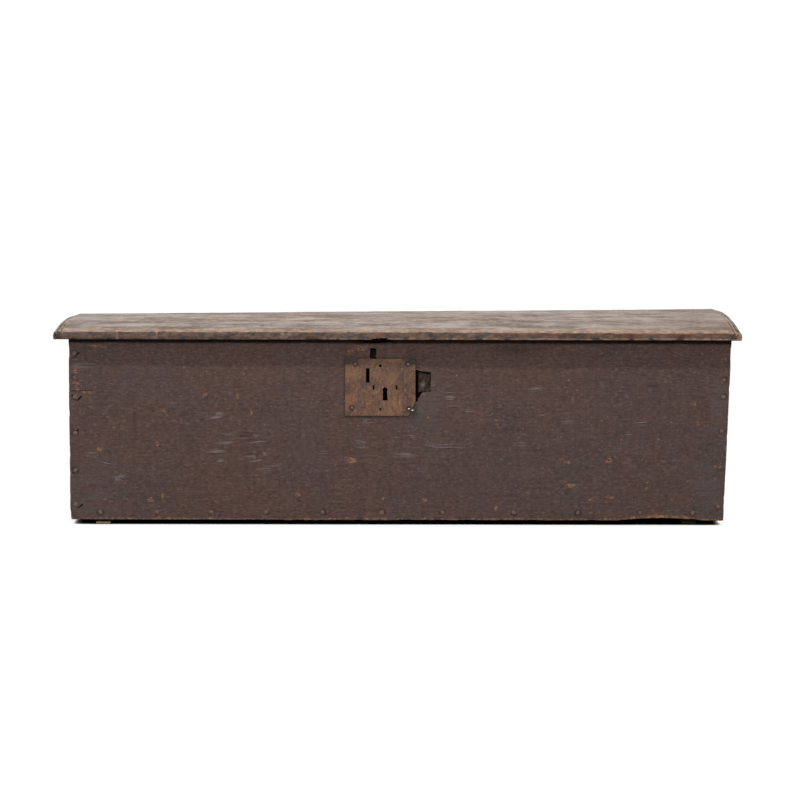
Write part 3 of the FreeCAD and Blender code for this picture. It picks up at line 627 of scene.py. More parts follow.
class Finish:
    """A surface put together from nodes, on Object coordinates."""

    def __init__(self, name):
        self.material = bpy.data.materials.new(name)
        self.material.use_nodes = True
        self.tree = self.material.node_tree
        self.shader = self.tree.nodes["Principled BSDF"]
        self.spot = self.node("TexCoord").outputs["Object"]

    def node(self, kind, **settings):
        """A new node with its settings."""
        made = self.tree.nodes.new("ShaderNode" + kind)
        for name, value in settings.items():
            setattr(made, name, value)
        return made

    def feed(self, socket, value):
        """Links an output to a socket, or sets a plain value there."""
        if isinstance(value, bpy.types.NodeSocket):
            self.tree.links.new(value, socket)
        else:
            socket.default_value = value

    def spread(self, scale, shift=(0, 0, 0), turn=(0, 0, 0)):
        """The place on the piece, stretched per axis."""
        mapping = self.node("Mapping")
        self.feed(mapping.inputs["Vector"], self.spot)
        mapping.inputs["Location"].default_value = shift
        mapping.inputs["Rotation"].default_value = turn
        mapping.inputs["Scale"].default_value = scale
        return mapping.outputs["Vector"]

    def noise(self, scale, detail=4, rough=0.55, spot=None, twist=0):
        """A cloudy pattern."""
        made = self.node("TexNoise")
        self.feed(made.inputs["Vector"], spot or self.spot)
        settings = {"Scale": scale, "Detail": detail, "Roughness": rough, "Distortion": twist}
        for name, value in settings.items():
            made.inputs[name].default_value = value
        return made.outputs["Fac"]

    def cells(self, scale, spot=None):
        """Distance to the nearest of scattered points, and a chance number for each point."""
        made = self.node("TexVoronoi")
        self.feed(made.inputs["Vector"], spot or self.spot)
        made.inputs["Scale"].default_value = scale
        parts = self.node("SeparateColor")
        self.feed(parts.inputs["Color"], made.outputs["Color"])
        return made.outputs["Distance"], parts.outputs["Red"]

    def mark(self, name):
        """A number that was kept for each point of the piece."""
        return self.node("Attribute", attribute_name=name).outputs["Fac"]

    def sum(self, kind, first, second):
        """One step of arithmetic."""
        made = self.node("Math", operation=kind)
        self.feed(made.inputs[0], first)
        self.feed(made.inputs[1], second)
        return made.outputs[0]

    def times(self, *shares):
        """Shares multiplied with each other."""
        made = shares[0]
        for share in shares[1:]:
            made = self.sum("MULTIPLY", made, share)
        return made

    def between(self, value, low, high, start=0.0, end=1.0):
        """A smooth step from start to end as a value goes from low to high."""
        made = self.node("MapRange", interpolation_type="SMOOTHSTEP")
        for socket, number in zip(list(made.inputs)[:5], (value, low, high, start, end)):
            self.feed(socket, number)
        return made.outputs["Result"]

    def mix(self, share, under, over):
        """A share of one colour laid over another."""
        made = self.node("Mix", data_type="RGBA")
        for index, value in ((0, share), (6, under), (7, over)):
            self.feed(made.inputs[index], value)
        return made.outputs[2]

    def vary(self, colour, *patterns):
        """For each pattern, draws one tone where it is high and another where it is low, each by a share."""
        for pattern, high_tone, high_share, low_tone, low_share in patterns:
            colour = self.mix(self.between(pattern, 0.52, 0.70, 0, high_share), colour, high_tone)
            colour = self.mix(self.between(pattern, 0.48, 0.30, 0, low_share), colour, low_tone)
        return colour

    def lay(self, colour, *coats):
        """Lays coats over a colour, each given by a pattern, its strength and its tone."""
        for pattern, strength, over in coats:
            colour = self.mix(self.times(pattern, strength), colour, over)
        return colour

    def heap(self, *parts):
        """Patterns added up, each by its weight."""
        total = self.times(*parts[0])
        for part in parts[1:]:
            total = self.sum("ADD", total, self.times(*part))
        return total

    def blend(self, share, first, second):
        """A number that passes from one to another by a share."""
        rest = self.sum("SUBTRACT", 1.0, share)
        return self.sum("ADD", self.times(first, rest), self.times(second, share))

    def lines(self, axis, along, name, across):
        """Lines along one axis that follow a mark on the piece instead of the other axes."""
        parts = self.node("SeparateXYZ")
        self.feed(parts.inputs[0], self.spot)
        spot = self.node("CombineXYZ")
        self.feed(spot.inputs["X"], self.times(parts.outputs[axis], along))
        self.feed(spot.inputs["Y"], self.times(self.mark(name), across))
        return self.noise(1, 2, 0.5, spot.outputs[0])

    def bump(self, height, distance, strength):
        """A relief from a pattern of heights."""
        made = self.node("Bump")
        made.inputs["Strength"].default_value = strength
        made.inputs["Distance"].default_value = distance
        self.feed(made.inputs["Height"], height)
        return made.outputs["Normal"]

    def done(self, colour, rough, normal=None, metal=0.0, gloss=0.5):
        """Feeds the shader and hands the material over."""
        self.feed(self.shader.inputs["Base Color"], colour)
        self.feed(self.shader.inputs["Roughness"], rough)
        self.feed(self.shader.inputs["Metallic"], metal)
        self.shader.inputs["Specular IOR Level"].default_value = gloss
        if normal is not None:
            self.feed(self.shader.inputs["Normal"], normal)
        return self.material


def along_grain(axis, along, across):
    """Scales that draw a pattern out along one axis."""
    return tuple(along if number == axis else across for number in range(3))


def bare_wood_layer(f, axis):
    """Old unpainted softwood: its colour and the height of its grain."""
    rings = f.noise(1, 5, 0.62, f.spread(along_grain(axis, 1.5, 62)), twist=0.5)
    fibre = f.noise(1, 4, 0.65, f.spread(along_grain(axis, 8, 520)))
    colour = f.mix(f.between(rings, 0.40, 0.60), tone(124, 100, 78), tone(90, 70, 53))
    colour = f.mix(f.between(rings, 0.56, 0.64, 0, 0.6), colour, tone(70, 52, 39))
    colour = f.mix(f.between(fibre, 0.38, 0.66, 0, 0.55), colour, tone(66, 52, 41))
    near, lot = f.cells(1, f.spread(along_grain(axis, 2.8, 7)))
    knot = f.times(f.between(near, 0.11, 0.06), f.between(lot, 0.72, 0.74))
    colour = f.lay(colour, (knot, 0.8, tone(54, 38, 27)))
    dirt = f.between(f.noise(7, 5, 0.6), 0.45, 0.75, 0, 0.5)
    colour = f.mix(dirt, colour, tone(60, 47, 37))
    return colour, f.heap((fibre, 0.6), (rings, 0.4))


def umber_paint(name, axis):
    """Dull umber paint over softwood, rubbed at the arrises, with scratches, dents, stains and painted
    shade.
    """
    f = Finish(name)
    wood, wood_height = bare_wood_layer(f, axis)
    # Paint in slow clouds of redder and greyer umber, mottled, with a little of the grain telling through
    clouds = f.noise(4.2, 5, 0.6)
    patches = f.noise(26, 5, 0.62, f.spread((1, 1, 1), shift=(0.7, 0.2, 0.4)))
    mottle = f.noise(60, 5, 0.7)
    grain = f.noise(1, 5, 0.65, f.spread(along_grain(axis, 12, 240)))
    brushed = f.noise(1, 4, 0.6, f.spread(along_grain(axis, 300, 16)))
    speckle = f.noise(1, 4, 0.7, f.spread(along_grain(axis, 110, 260)))
    paint = f.mix(f.between(clouds, 0.36, 0.66), tone(82, 61, 55), tone(75, 62, 59))
    paint = f.vary(
        paint,
        (patches, tone(69, 60, 57), 0.5, tone(86, 61, 54), 0.5),
        (mottle, tone(58, 46, 44), 0.45, tone(92, 75, 71), 0.45),
        (grain, tone(52, 42, 40), 0.26, tone(94, 77, 72), 0.2),
        (brushed, tone(54, 43, 42), 0.32, tone(88, 71, 66), 0.2),
        (speckle, tone(47, 37, 36), 0.5, tone(106, 89, 84), 0.55),
    )
    # Rubbed through to the wood
    ragged = f.noise(170, 6, 0.75)
    flaked = f.between(f.noise(1, 3, 0.7, f.spread(along_grain(axis, 260, 480))), 0.43, 0.56)
    arris = f.between(f.sum("ADD", f.times(f.mark("worn"), 0.5), ragged), 0.80, 1.0)
    spots = f.between(f.sum("ADD", f.times(f.mark("rubbed"), 0.65), ragged), 0.80, 1.0)
    rub = f.sum("MAXIMUM", arris, f.times(spots, flaked))
    rubbed_wood = f.mix(f.between(speckle, 0.38, 0.62), tone(158, 118, 90), tone(104, 77, 61))
    # Small light dents and orange flecks, in clusters
    near, lot = f.cells(85)
    dents = f.times(f.between(near, 0.24, 0.10), f.between(lot, 0.70, 0.72), f.between(patches, 0.44, 0.56))
    speck = f.between(f.sum("ADD", f.mark("speck"), f.times(ragged, 0.4)), 0.85, 1.15)
    near, lot = f.cells(95, f.spread((1, 1, 1), shift=(0.31, 0.17, 0.23)))
    flecks = f.times(f.between(near, 0.24, 0.08), f.between(lot, 0.64, 0.66), f.between(clouds, 0.44, 0.56))
    # Scratches, pale or scored dark, and scraped patches
    streaks = f.lines(axis, 16, "lie", SCRATCH_BAND * 480)
    scratch = f.times(f.mark("scratch"), f.between(streaks, 0.50, 0.56))
    scored = f.times(f.mark("scratch"), f.between(streaks, 0.42, 0.34))
    scrape = f.times(f.mark("scraped"), f.between(grain, 0.42, 0.60))
    colour = f.lay(
        paint,
        (rub, 0.85, rubbed_wood),
        (dents, 0.4, tone(108, 94, 89)),
        (speck, 0.75, tone(124, 111, 106)),
        (flecks, 0.6, tone(112, 84, 64)),
        (scratch, 0.9, tone(116, 107, 104)),
        (scored, 0.75, tone(36, 29, 28)),
        (scrape, 0.6, tone(84, 77, 74)),
    )
    # Unpainted inner side
    raw = f.mark("raw")
    colour = f.mix(raw, colour, wood)
    # Dirt and painted shade, dark and broken rings round the nails, and the painted black shade of gouges
    stain_and_painted_shade = f.times(f.mark("stain_and_painted_shade"), f.between(ragged, 0.25, 0.6, 0.45, 1))
    ring = f.between(f.sum("ADD", f.mark("nail"), f.times(ragged, 0.5)), 0.80, 0.95)
    ring = f.times(ring, f.between(mottle, 0.44, 0.58))
    colour = f.lay(
        colour,
        (stain_and_painted_shade, 0.8, tone(26, 22, 22)),
        (ring, 0.55, tone(34, 27, 25)),
        (f.mark("pit"), 0.9, tone(10, 8, 8)),
    )
    height = f.heap((grain, 0.3), (speckle, 0.35), (mottle, 0.5),
                    (dents, -0.7), (speck, -0.5), (rub, -0.35), (scratch, -0.4))
    height = f.blend(raw, height, wood_height)
    rough = f.between(f.sum("ADD", speckle, f.times(rub, 0.3)), 0.3, 0.9, 0.58, 0.86)
    return f.done(colour, rough, f.bump(height, PAINT_RELIEF, RELIEF), gloss=0.2)


def lid_wood():
    """Scrubbed lid: paint worn to grey brown blotches that are pale partly as a painted sheen, light broken
    arrises, dark mottled edges.
    """
    f = Finish("scrubbed_lid_wood_with_painted_sheen")
    wood, wood_height = bare_wood_layer(f, X)
    streak = f.noise(1, 6, 0.68, f.spread((3, 58, 58)), twist=0.3)
    blotch = f.noise(1, 6, 0.7, f.spread((7, 24, 24)), twist=0.3)
    cloud = f.noise(1, 4, 0.6, f.spread((3.2, 6, 6)))
    patches = f.noise(22, 5, 0.6)
    speckle = f.noise(1, 4, 0.7, f.spread((70, 190, 190)))
    spills = f.noise(1, 5, 0.65, f.spread((20, 8, 8), shift=(0.4, 0.1, 0.6)))
    # Top: grey brown blotches, pale partly from scrubbed paint and partly as a painted sheen
    top = f.mix(f.between(blotch, 0.38, 0.62), tone(150, 135, 123), tone(103, 87, 75))
    top = f.vary(
        top,
        (streak, tone(76, 59, 48), 0.75, tone(168, 153, 140), 0.6),
        (cloud, tone(122, 118, 119), 0.55, tone(112, 87, 69), 0.7),
        (spills, tone(92, 72, 58), 0.6, tone(170, 155, 142), 0.5),
        (speckle, tone(78, 64, 56), 0.6, tone(182, 167, 153), 0.6),
    )
    # Painted shade, darker towards the right
    parts = f.node("SeparateXYZ")
    f.feed(parts.inputs[0], f.spot)
    top = f.mix(f.between(parts.outputs["X"], 0.15, 0.65, 0, 0.22), top, tone(98, 78, 66))
    # Edges: dark and reddish mottling with light specks
    mottle = f.noise(1, 6, 0.7, f.spread((70, 160, 160)))
    edge = f.mix(f.between(mottle, 0.40, 0.60), tone(58, 46, 41), tone(93, 72, 60))
    edge = f.mix(f.between(patches, 0.50, 0.66, 0, 0.6), edge, tone(98, 60, 46))
    edge = f.mix(f.between(speckle, 0.54, 0.72, 0, 0.6), edge, tone(122, 94, 74))
    colour = f.mix(f.mark("edge"), top, edge)
    # Arrises worn light, here and there
    ragged = f.noise(1, 6, 0.7, f.spread((60, 110, 110)))
    worn = f.between(f.heap((f.mark("worn"), 0.7), (ragged, 0.7)), 0.72, 0.92)
    light = f.mix(f.between(speckle, 0.38, 0.62), tone(164, 130, 105), tone(120, 92, 72))
    colour = f.lay(colour, (worn, 0.9, light))
    raw = f.mark("raw")
    colour = f.mix(raw, colour, wood)
    dirt = f.times(f.mark("stain_and_painted_shade"), f.between(ragged, 0.3, 0.55, 0.6, 1))
    colour = f.lay(colour, (dirt, 0.9, tone(30, 25, 24)))
    height = f.blend(raw, f.heap((streak, 0.6), (speckle, 0.4), (blotch, 0.5)), wood_height)
    rough = f.between(f.sum("ADD", blotch, f.times(speckle, 0.3)), 0.4, 0.9, 0.42, 0.75)
    return f.done(colour, rough, f.bump(height, WOOD_RELIEF, RELIEF), gloss=0.4)


def cut_wood():
    """Wood inside old cuts: painted black shade, and pale in places where bare wood shows and where a
    highlight is painted.
    """
    f = Finish("cut_wood_painted_shade")
    chips = f.noise(1, 4, 0.65, f.spread((170, 170, 70)))
    # Painted black shade, mottled
    colour = f.mix(f.between(chips, 0.4, 0.7), tone(8, 7, 7), tone(24, 20, 19))
    # Pale bare wood, with a painted highlight on the recess floor
    pale = f.times(f.mark("pale"), f.between(chips, 0.36, 0.60, 0.35, 1))
    colour = f.lay(colour, (pale, 0.9, tone(118, 102, 92)))
    rough = f.between(chips, 0.3, 0.7, 0.8, 0.95)
    return f.done(colour, rough, f.bump(chips, WOOD_RELIEF, RELIEF), gloss=0.05)


def bare_wood(name, axis):
    """Old softwood that never was painted."""
    f = Finish(name)
    colour, height = bare_wood_layer(f, axis)
    fine = f.noise(300, 3, 0.6)
    ragged = f.noise(70, 5, 0.65)
    worn = f.between(f.heap((f.mark("worn"), 0.6), (ragged, 0.6)), 0.6, 0.85)
    # Worn light, and dark where stained, which on the runners is painted shade at their front ends
    colour = f.lay(colour, (worn, 0.6, tone(138, 112, 92)), (f.mark("stain_and_painted_shade"), 0.9, tone(22, 18, 16)))
    rough = f.between(fine, 0.3, 0.7, 0.65, 0.88)
    return f.done(colour, rough, f.bump(height, WOOD_RELIEF, RELIEF), gloss=0.3)


def rusty_iron(name, light, dark, wear_and_highlight_tone, pits=0.5 * MM, metal=0.0, rust=1.0, gloss=0.4):
    """Old iron under a mottled coat of rust, of another tone where it is worn; on the crowns of nails that
    tone is also a painted highlight.
    """
    f = Finish(name)
    bloom = f.noise(34, 6, 0.68)
    mottle = f.noise(240, 5, 0.7)
    fine = f.noise(520, 4, 0.7)
    strokes = f.noise(1, 4, 0.65, f.spread((210, 210, 70), turn=(0, 0.4, 0)))
    colour = f.mix(f.between(bloom, 0.36, 0.62), dark, light)
    colour = f.vary(
        colour,
        (strokes, tone(146, 106, 80), 0.6 * rust, tone(60, 45, 39), 0.6 * rust),
        (mottle, tone(144, 100, 70), 0.75 * rust, tone(56, 42, 37), 0.7 * rust),
        (fine, tone(48, 37, 33), 0.5 * rust, tone(136, 104, 84), 0.4 * rust),
    )
    worn = f.between(f.heap((f.mark("worn"), 0.7), (mottle, 0.6)), 0.62, 0.9)
    stain_and_painted_shade = f.between(f.sum("ADD", f.mark("stain_and_painted_shade"), f.times(mottle, 0.5)), 0.55, 0.85)
    colour = f.lay(colour, (worn, 0.6, wear_and_highlight_tone), (stain_and_painted_shade, 0.8, tone(34, 28, 26)))
    height = f.heap((mottle, 0.6), (fine, 0.5))
    rough = f.between(mottle, 0.3, 0.7, 0.6, 0.88)
    return f.done(colour, rough, f.bump(height, pits, RELIEF), metal=metal, gloss=gloss)


def bright_steel():
    """Newer nails, still bright."""
    f = Finish("bright_nail_steel")
    fine = f.noise(700, 3, 0.6)
    colour = f.mix(f.between(fine, 0.45, 0.7), tone(190, 187, 182), tone(122, 118, 112))
    rough = f.between(fine, 0.3, 0.7, 0.35, 0.6)
    return f.done(colour, rough, f.bump(fine, STEEL_RELIEF, STEEL_SOFTNESS), metal=1.0)


# Boards

def edge_gaps(rows, low, high):
    """How far each point of a board lies from the board's nearest arris."""
    gaps = np.minimum(rows - np.array(low), np.array(high) - rows)
    return np.sort(gaps, axis=1)[:, 1]


def lean_right(piece, low, high):
    """Slants a board's right edge, which stands further out at the top than at the foot."""
    for vertex in piece.data.vertices:
        down = (high.z - vertex.co.z) / (high.z - low.z)
        across = (vertex.co.x - low.x) / (high.x - low.x)
        vertex.co.x -= RIGHT_LEAN * down * across


def square_up(rows, low, high):
    """The points of a leaning board, as they lay before it leaned."""
    down = (high.z - rows[:, Z]) / (high.z - low.z)
    straight = rows.copy()
    straight[:, X] = low.x + (rows[:, X] - low.x) / (1 - RIGHT_LEAN * down / (high.x - low.x))
    return straight


def wear_marks(piece, rows, low, high, most=1.0, reach=WEAR_REACH):
    """Keeps how near each point lies to an arris."""
    mark(piece, "worn", most - edge_gaps(rows, low, high) / reach)


def mark_nails(piece, rows, groups, way):
    """Keeps how near each point lies to a nail: 1 on it, 0 at the reach."""
    near = np.zeros(len(rows))
    for node in groups:
        for seat in nail_seats(node, way, PLANK_NAIL):
            far = np.linalg.norm(rows - np.array(seat), axis=1)
            near = np.maximum(near, 1 - far / NAIL_REACH)
    mark(piece, "nail", near)


def lens_cutter(place, size, slope):
    """A thin lens that leaves a gouge."""
    put_down()
    bpy.ops.mesh.primitive_ico_sphere_add(subdivisions=3, radius=1, location=place, rotation=(0, -slope, 0))
    lens = bpy.context.object
    lens.scale = size
    settle(lens)
    return lens


def recess_cutter(x, z, face):
    """The older recess beside the plate: deeper at its top, its upper edge falling to the right."""
    recess = new_block("recess", (x + MORTISE_RIGHT, face - FRONT_OVERRUN, z + RECESS_FOOT),
                       (x + RECESS_RIGHT, face + RECESS_DEPTHS[0], z + RECESS_TOP + RECESS_SLANT))
    for vertex in recess.data.vertices:
        if vertex.co.z > z:
            if vertex.co.y > face:
                vertex.co.y = face + RECESS_DEPTHS[1]
            if vertex.co.x > x + SLIT_RIGHT:
                vertex.co.z -= RECESS_SLANT
    roughen(recess, cuts=9, wander=RECESS_WANDER)
    return recess


def wedge_cutter(x, z, face):
    """The slanting cut under the recess."""
    wedge = new_block("wedge", (x + MORTISE_RIGHT, face - FRONT_OVERRUN, z + MORTISE_FOOT),
                      (x + WEDGE_RIGHTS[0], face + WEDGE_DEPTH, z + RECESS_FOOT + FRONT_OVERRUN / 2))
    for vertex in wedge.data.vertices:
        if vertex.co.z < z + RECESS_FOOT and vertex.co.x > x + WEDGE_RIGHTS[1]:
            vertex.co.x = x + WEDGE_RIGHTS[1]
    roughen(wedge, cuts=7, wander=WEDGE_WANDER)
    return wedge


def front_cutters(x, z, face, top):
    """What is cut out of the front: mortise, slit beside it, recess, wedge, notch and worn hollow."""
    before = face - FRONT_OVERRUN
    mortise = new_block("mortise", (x + MORTISE_LEFT, before, z + MORTISE_FOOT),
                        (x + MORTISE_RIGHT + SPARE, face + MORTISE_DEPTH, z + MORTISE_TOP))
    slit = new_block("slit", (x + MORTISE_RIGHT, before, z + MORTISE_FOOT),
                     (x + SLIT_RIGHT, face + MORTISE_DEPTH, z + SLIT_TOP))
    notch = new_block("notch", (x + NOTCH_LEFT, before, z + MORTISE_TOP - FRONT_OVERRUN),
                      (x + NOTCH_LEFT + NOTCH_WIDTH, face + NOTCH_DEPTH, z + NOTCH_TOP))
    roughen(notch, cuts=7, wander=NOTCH_WANDER)
    hollow = lens_cutter((x + HOLLOW_MIDDLE, face, top), (HOLLOW_WIDTH / 2, HOLLOW_REACH, HOLLOW_DEPTH), 0)
    roughen(hollow, cuts=1, wander=HOLLOW_WANDER)
    return [mortise, slit, recess_cutter(x, z, face), wedge_cutter(x, z, face), notch, hollow]


def empty_hole_cutters(x, z, front, back):
    """What drills the lock's two empty nail holes."""
    return [round_cutter(x, z + rise, wide / 2, front, back) for rise, wide in EMPTY_HOLES]


def split_cutter(low, height):
    """The split in the left edge, closing to the right."""
    z = low.z + SPLIT_RISE_share * height
    split = new_block("split", (low.x - SPARE, low.y - SPARE, z - SPLIT_OPENING / 2),
                      (low.x + SPLIT_LENGTH, low.y + SPLIT_DEPTH, z + SPLIT_OPENING / 2))
    pick_faces(split, lambda middle, normal: normal.x > SQUARE)
    bpy.ops.transform.resize(value=SPLIT_TAPER_shares,
                             center_override=(low.x + SPLIT_LENGTH, low.y, z + SPARE))
    put_down()
    return split


def gouge_cutters(low, length, height):
    """The gouges beside the nails of the left edge."""
    return [lens_cutter((low.x + x * length, low.y, low.z + z * height),
                        (far / 2, GOUGE_DEPTH, GOUGE_WIDTH / 2), math.radians(slope))
            for x, z, far, slope in GOUGES]


def wear_foot(board, low, high):
    """Wears the foot of the front up, most of all near its right end, and knocks its left corner off."""
    for vertex in board.data.vertices:
        near_foot = max(0, 1 - (vertex.co.z - low.z) / FOOT_WEAR_REACH)
        if near_foot == 0:
            continue
        share = (vertex.co.x - low.x) / (high.x - low.x)
        worn = max(0, 1 - ((share - FOOT_WEAR_shares[0]) / FOOT_WEAR_shares[1]) ** 2)
        wave = noise.noise((vertex.co.x / FOOT_WAVE_LENGTH, 0, 0))
        vertex.co.z += near_foot * (FOOT_WEAR * worn + FOOT_WAVE * wave)
        near_corner = max(0, 1 - (vertex.co.x - low.x) / FOOT_WEAR_REACH)
        vertex.co.x += CORNER_KNOCK * near_foot * near_corner


def plate_middle():
    """The middle of the lock plate, from which the lock is laid out."""
    low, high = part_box("lock_plate")
    return (low + high) / 2


def front_board():
    """The front: planed, worn, leaning at the right, and cut for the lock."""
    low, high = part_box("front_plank")
    length, height = high.x - low.x, high.z - low.z
    lock = plate_middle()
    board = saw_board("front_board", low, high, Y, BOARD_CELL)
    weather(board, PLANING, PLANING_GRAIN, along_grain(X, PLANING_STRETCH, 1))
    wear_arris(board, FRONT_ARRIS_WEAR, ARRIS_DENTS)
    wear_foot(board, low, high)
    lean_right(board, low, high)
    for cutter in front_cutters(lock.x, lock.z, low.y, high.z):
        cut(board, cutter)
    cut(board, *empty_hole_cutters(lock.x, lock.z, low.y - FRONT_OVERRUN, low.y + EMPTY_HOLE_DEPTH))
    cut(board, split_cutter(low, height))
    for gouge in gouge_cutters(low, length, height):
        cut(board, gouge)
    close_up(board)
    mark_front(board, low, high)
    return board


def front_cut_rule():
    """The rule that picks what lies inside the cuts round the lock."""
    low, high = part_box("front_plank")
    lock = plate_middle()

    def inside(place, _):
        beside = abs(place.x - lock.x) < CUT_REACH
        level = lock.z - CUT_REACH < place.z < high.z - HOLLOW_DEPTH - SPARE
        return beside and level and low.y + CUT_SKIN < place.y < high.y - CUT_SKIN

    return inside


def from_lock(rows):
    """How far each point lies to the right of the lock plate's middle, and how far over it."""
    lock = plate_middle()
    return rows[:, X] - lock.x, rows[:, Z] - lock.z


def plate_shade(rows):
    """Painted shade round the lock plate, darkest at its rim, with the dirt that gathers there."""
    low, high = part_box("lock_plate")
    right, over = from_lock(rows)
    beside = np.maximum(np.abs(right) - (high.x - low.x) / 2, np.abs(over) - (high.z - low.z) / 2)
    return PLATE_SHADE - np.maximum(beside, 0) / PLATE_SHADE_REACH


def in_hollow(rows, low, high):
    """What lies in the hollow worn in the top edge."""
    right, _ = from_lock(rows)
    near = (np.abs(right - HOLLOW_MIDDLE) < HOLLOW_WIDTH / 2) & (rows[:, Y] - low.y < HOLLOW_REACH)
    return near & (rows[:, Z] > high.z - HOLLOW_DEPTH - HOLLOW_SKIN)


def pale_cuts(rows, low):
    """How pale the wood is inside the recess and the notch, with a painted highlight on the recess floor."""
    right, over = from_lock(rows)
    deep = rows[:, Y] - low.y
    wide, tall = RECESS_LIGHT_SIZE
    from_light = np.hypot((right - RECESS_LIGHT[0]) / (wide / 2), (over - RECESS_LIGHT[1]) / (tall / 2))
    # Painted highlight on the recess floor, fading from its middle
    light = RECESS_LIGHT_STRENGTH - from_light
    on_floor = (right > SLIT_RIGHT) & (over > RECESS_FOOT) & (deep > RECESS_DEPTHS[0] / 2)
    in_notch = (over > MORTISE_TOP + NOTCH_SKIN) & (deep > NOTCH_DEPTH / 2)
    return np.maximum(light, RECESS_GREY) * on_floor + NOTCH_GREY * in_notch


def mark_front(board, low, high):
    """Where the front is worn, rubbed, scratched, dented, scraped, stained and cut, and where shade is
    painted on it.
    """
    rows = points(board)
    straight = square_up(rows, low, high)
    worn = FRONT_WORN - edge_gaps(straight, low, high) / FRONT_WEAR_REACH
    length, height = high.x - low.x, high.z - low.z
    deep = rows[:, Y] - low.y
    outside = deep < PAINT_SKIN
    mark(board, "raw", ~outside)
    along = (straight[:, X] - low.x) / length
    up = (rows[:, Z] - low.z) / height
    foot_worn = np.clip(1 - ((along - FOOT_WEAR_shares[0]) / FOOT_WEAR_shares[1]) ** 2, 0, 1)
    mark(board, "worn", np.maximum(worn, FOOT_WORN + foot_worn - (rows[:, Z] - low.z) / FRONT_WEAR_REACH))

    def apart(x_share, z_share, wide, tall, climb=0.0):
        """How far each point is from an oval's middle, with 1 at its rim, and how far above its axis."""
        right = (along - x_share) * length
        above = (up - z_share) * height - climb * right
        return np.hypot(right / (wide / 2), above / (tall / 2)), above

    def patch(*oval):
        """1 in the middle of an oval and 0 past its rim."""
        return np.clip(MARK_STRENGTH - apart(*oval)[0], 0, 1) * outside

    def most(patches):
        """The strongest of many patches at each point."""
        return np.max(list(patches), axis=0)

    def spot_size(far):
        """How large a rubbed spot is drawn."""
        return max(far * MM * RUB_SPREAD, SMALLEST_MARK)

    nearest = np.full(len(rows), np.inf)
    lie = np.zeros(len(rows))
    for x_share, z_share, far, climb in SCRATCHES:
        distance, above = apart(x_share, z_share, far * MM, SCRATCH_HEIGHT, climb)
        closer = distance < nearest
        nearest[closer] = distance[closer]
        lie[closer] = above[closer]
    mark(board, "scratch", (MARK_STRENGTH - nearest) * outside)
    mark(board, "lie", 0.5 + lie / SCRATCH_BAND)
    mark(board, "rubbed", most(patch(x, z, spot_size(wide), spot_size(tall))
                               for x, z, wide, tall in RUBBED_SPOTS))
    mark(board, "speck", most(patch(x, z, SPECK_SIZE, SPECK_SIZE) for x, z in SPECKS))
    mark(board, "scraped", most(patch(x, z, wide * MM, tall * MM) for x, z, wide, tall in SCRAPED_PATCHES))
    mark_nails(board, rows, FRONT_NAILS, INTO_FRONT)
    # Painted shade along the top of the front, under the lid
    under_lid_shade = np.clip((rows[:, Z] - (high.z - UNDER_LID_SHADE_BAND)) / UNDER_LID_SHADE_FADE, 0, 1)
    smudge = most(share * patch(x, z, wide * MM, tall * MM) for x, z, wide, tall, share in SMUDGES)
    stain_and_painted_shade = most([under_lid_shade, smudge, plate_shade(rows)]) * outside
    # The worn hollow in the top edge, under the lid, takes full painted shade
    mark(board, "stain_and_painted_shade", np.where(in_hollow(rows, low, high), 1, stain_and_painted_shade))
    # Painted black shade in the gouges and the split
    pit = np.ones(len(rows), bool)
    for values, (least, largest) in ((deep, PIT_DEPTHS), (along, PIT_ALONG_shares), (up, PIT_UP_shares)):
        pit &= (values > least) & (values < largest)
    mark(board, "pit", pit)
    mark(board, "pale", pale_cuts(rows, low))


def back_board():
    """The back, with seats let in for the hinges."""
    low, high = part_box("back_plank")
    board = saw_board("back_board", low, high, Y, BOARD_CELL)
    weather(board, PLANING, PLANING_GRAIN, along_grain(X, PLANING_STRETCH, 1))
    wear_arris(board, BACK_ARRIS_WEAR, ARRIS_DENTS)
    lean_right(board, low, high)
    for side in ("left", "right"):
        for seat in hinge_seat_cutters(side, high):
            cut(board, seat)
    close_up(board)
    rows = points(board)
    wear_marks(board, square_up(rows, low, high), low, high)
    outside = rows[:, Y] > high.y - PAINT_SKIN
    mark(board, "raw", ~outside)
    mark_nails(board, rows, BACK_NAILS, INTO_BACK)
    return board


def hinge_seat_cutters(side, high):
    """What lets the hinge's leaf, knuckles and strap into the back."""
    room = HINGE_SEAT_ROOM
    leaf_low, leaf_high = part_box(f"{side}_hinge_leaf")
    pin_low, pin_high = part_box(f"{side}_hinge_pin")
    strap_low, strap_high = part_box(f"{side}_hinge_strap")
    seats = [
        ((leaf_low.x - room, leaf_low.y - room, leaf_low.z - room), leaf_high.x),
        ((pin_low.x - room, high.y - HINGE_SEAT_DEPTH, strap_low.z - room), pin_high.x),
        ((strap_low.x - room, strap_low.y, high.z - HINGE_SEAT_DEPTH), strap_high.x),
    ]
    return [new_block("hinge_seat", corner, (right + room, high.y + SEAT_OVERRUN, high.z + SEAT_OVERRUN))
            for corner, right in seats]


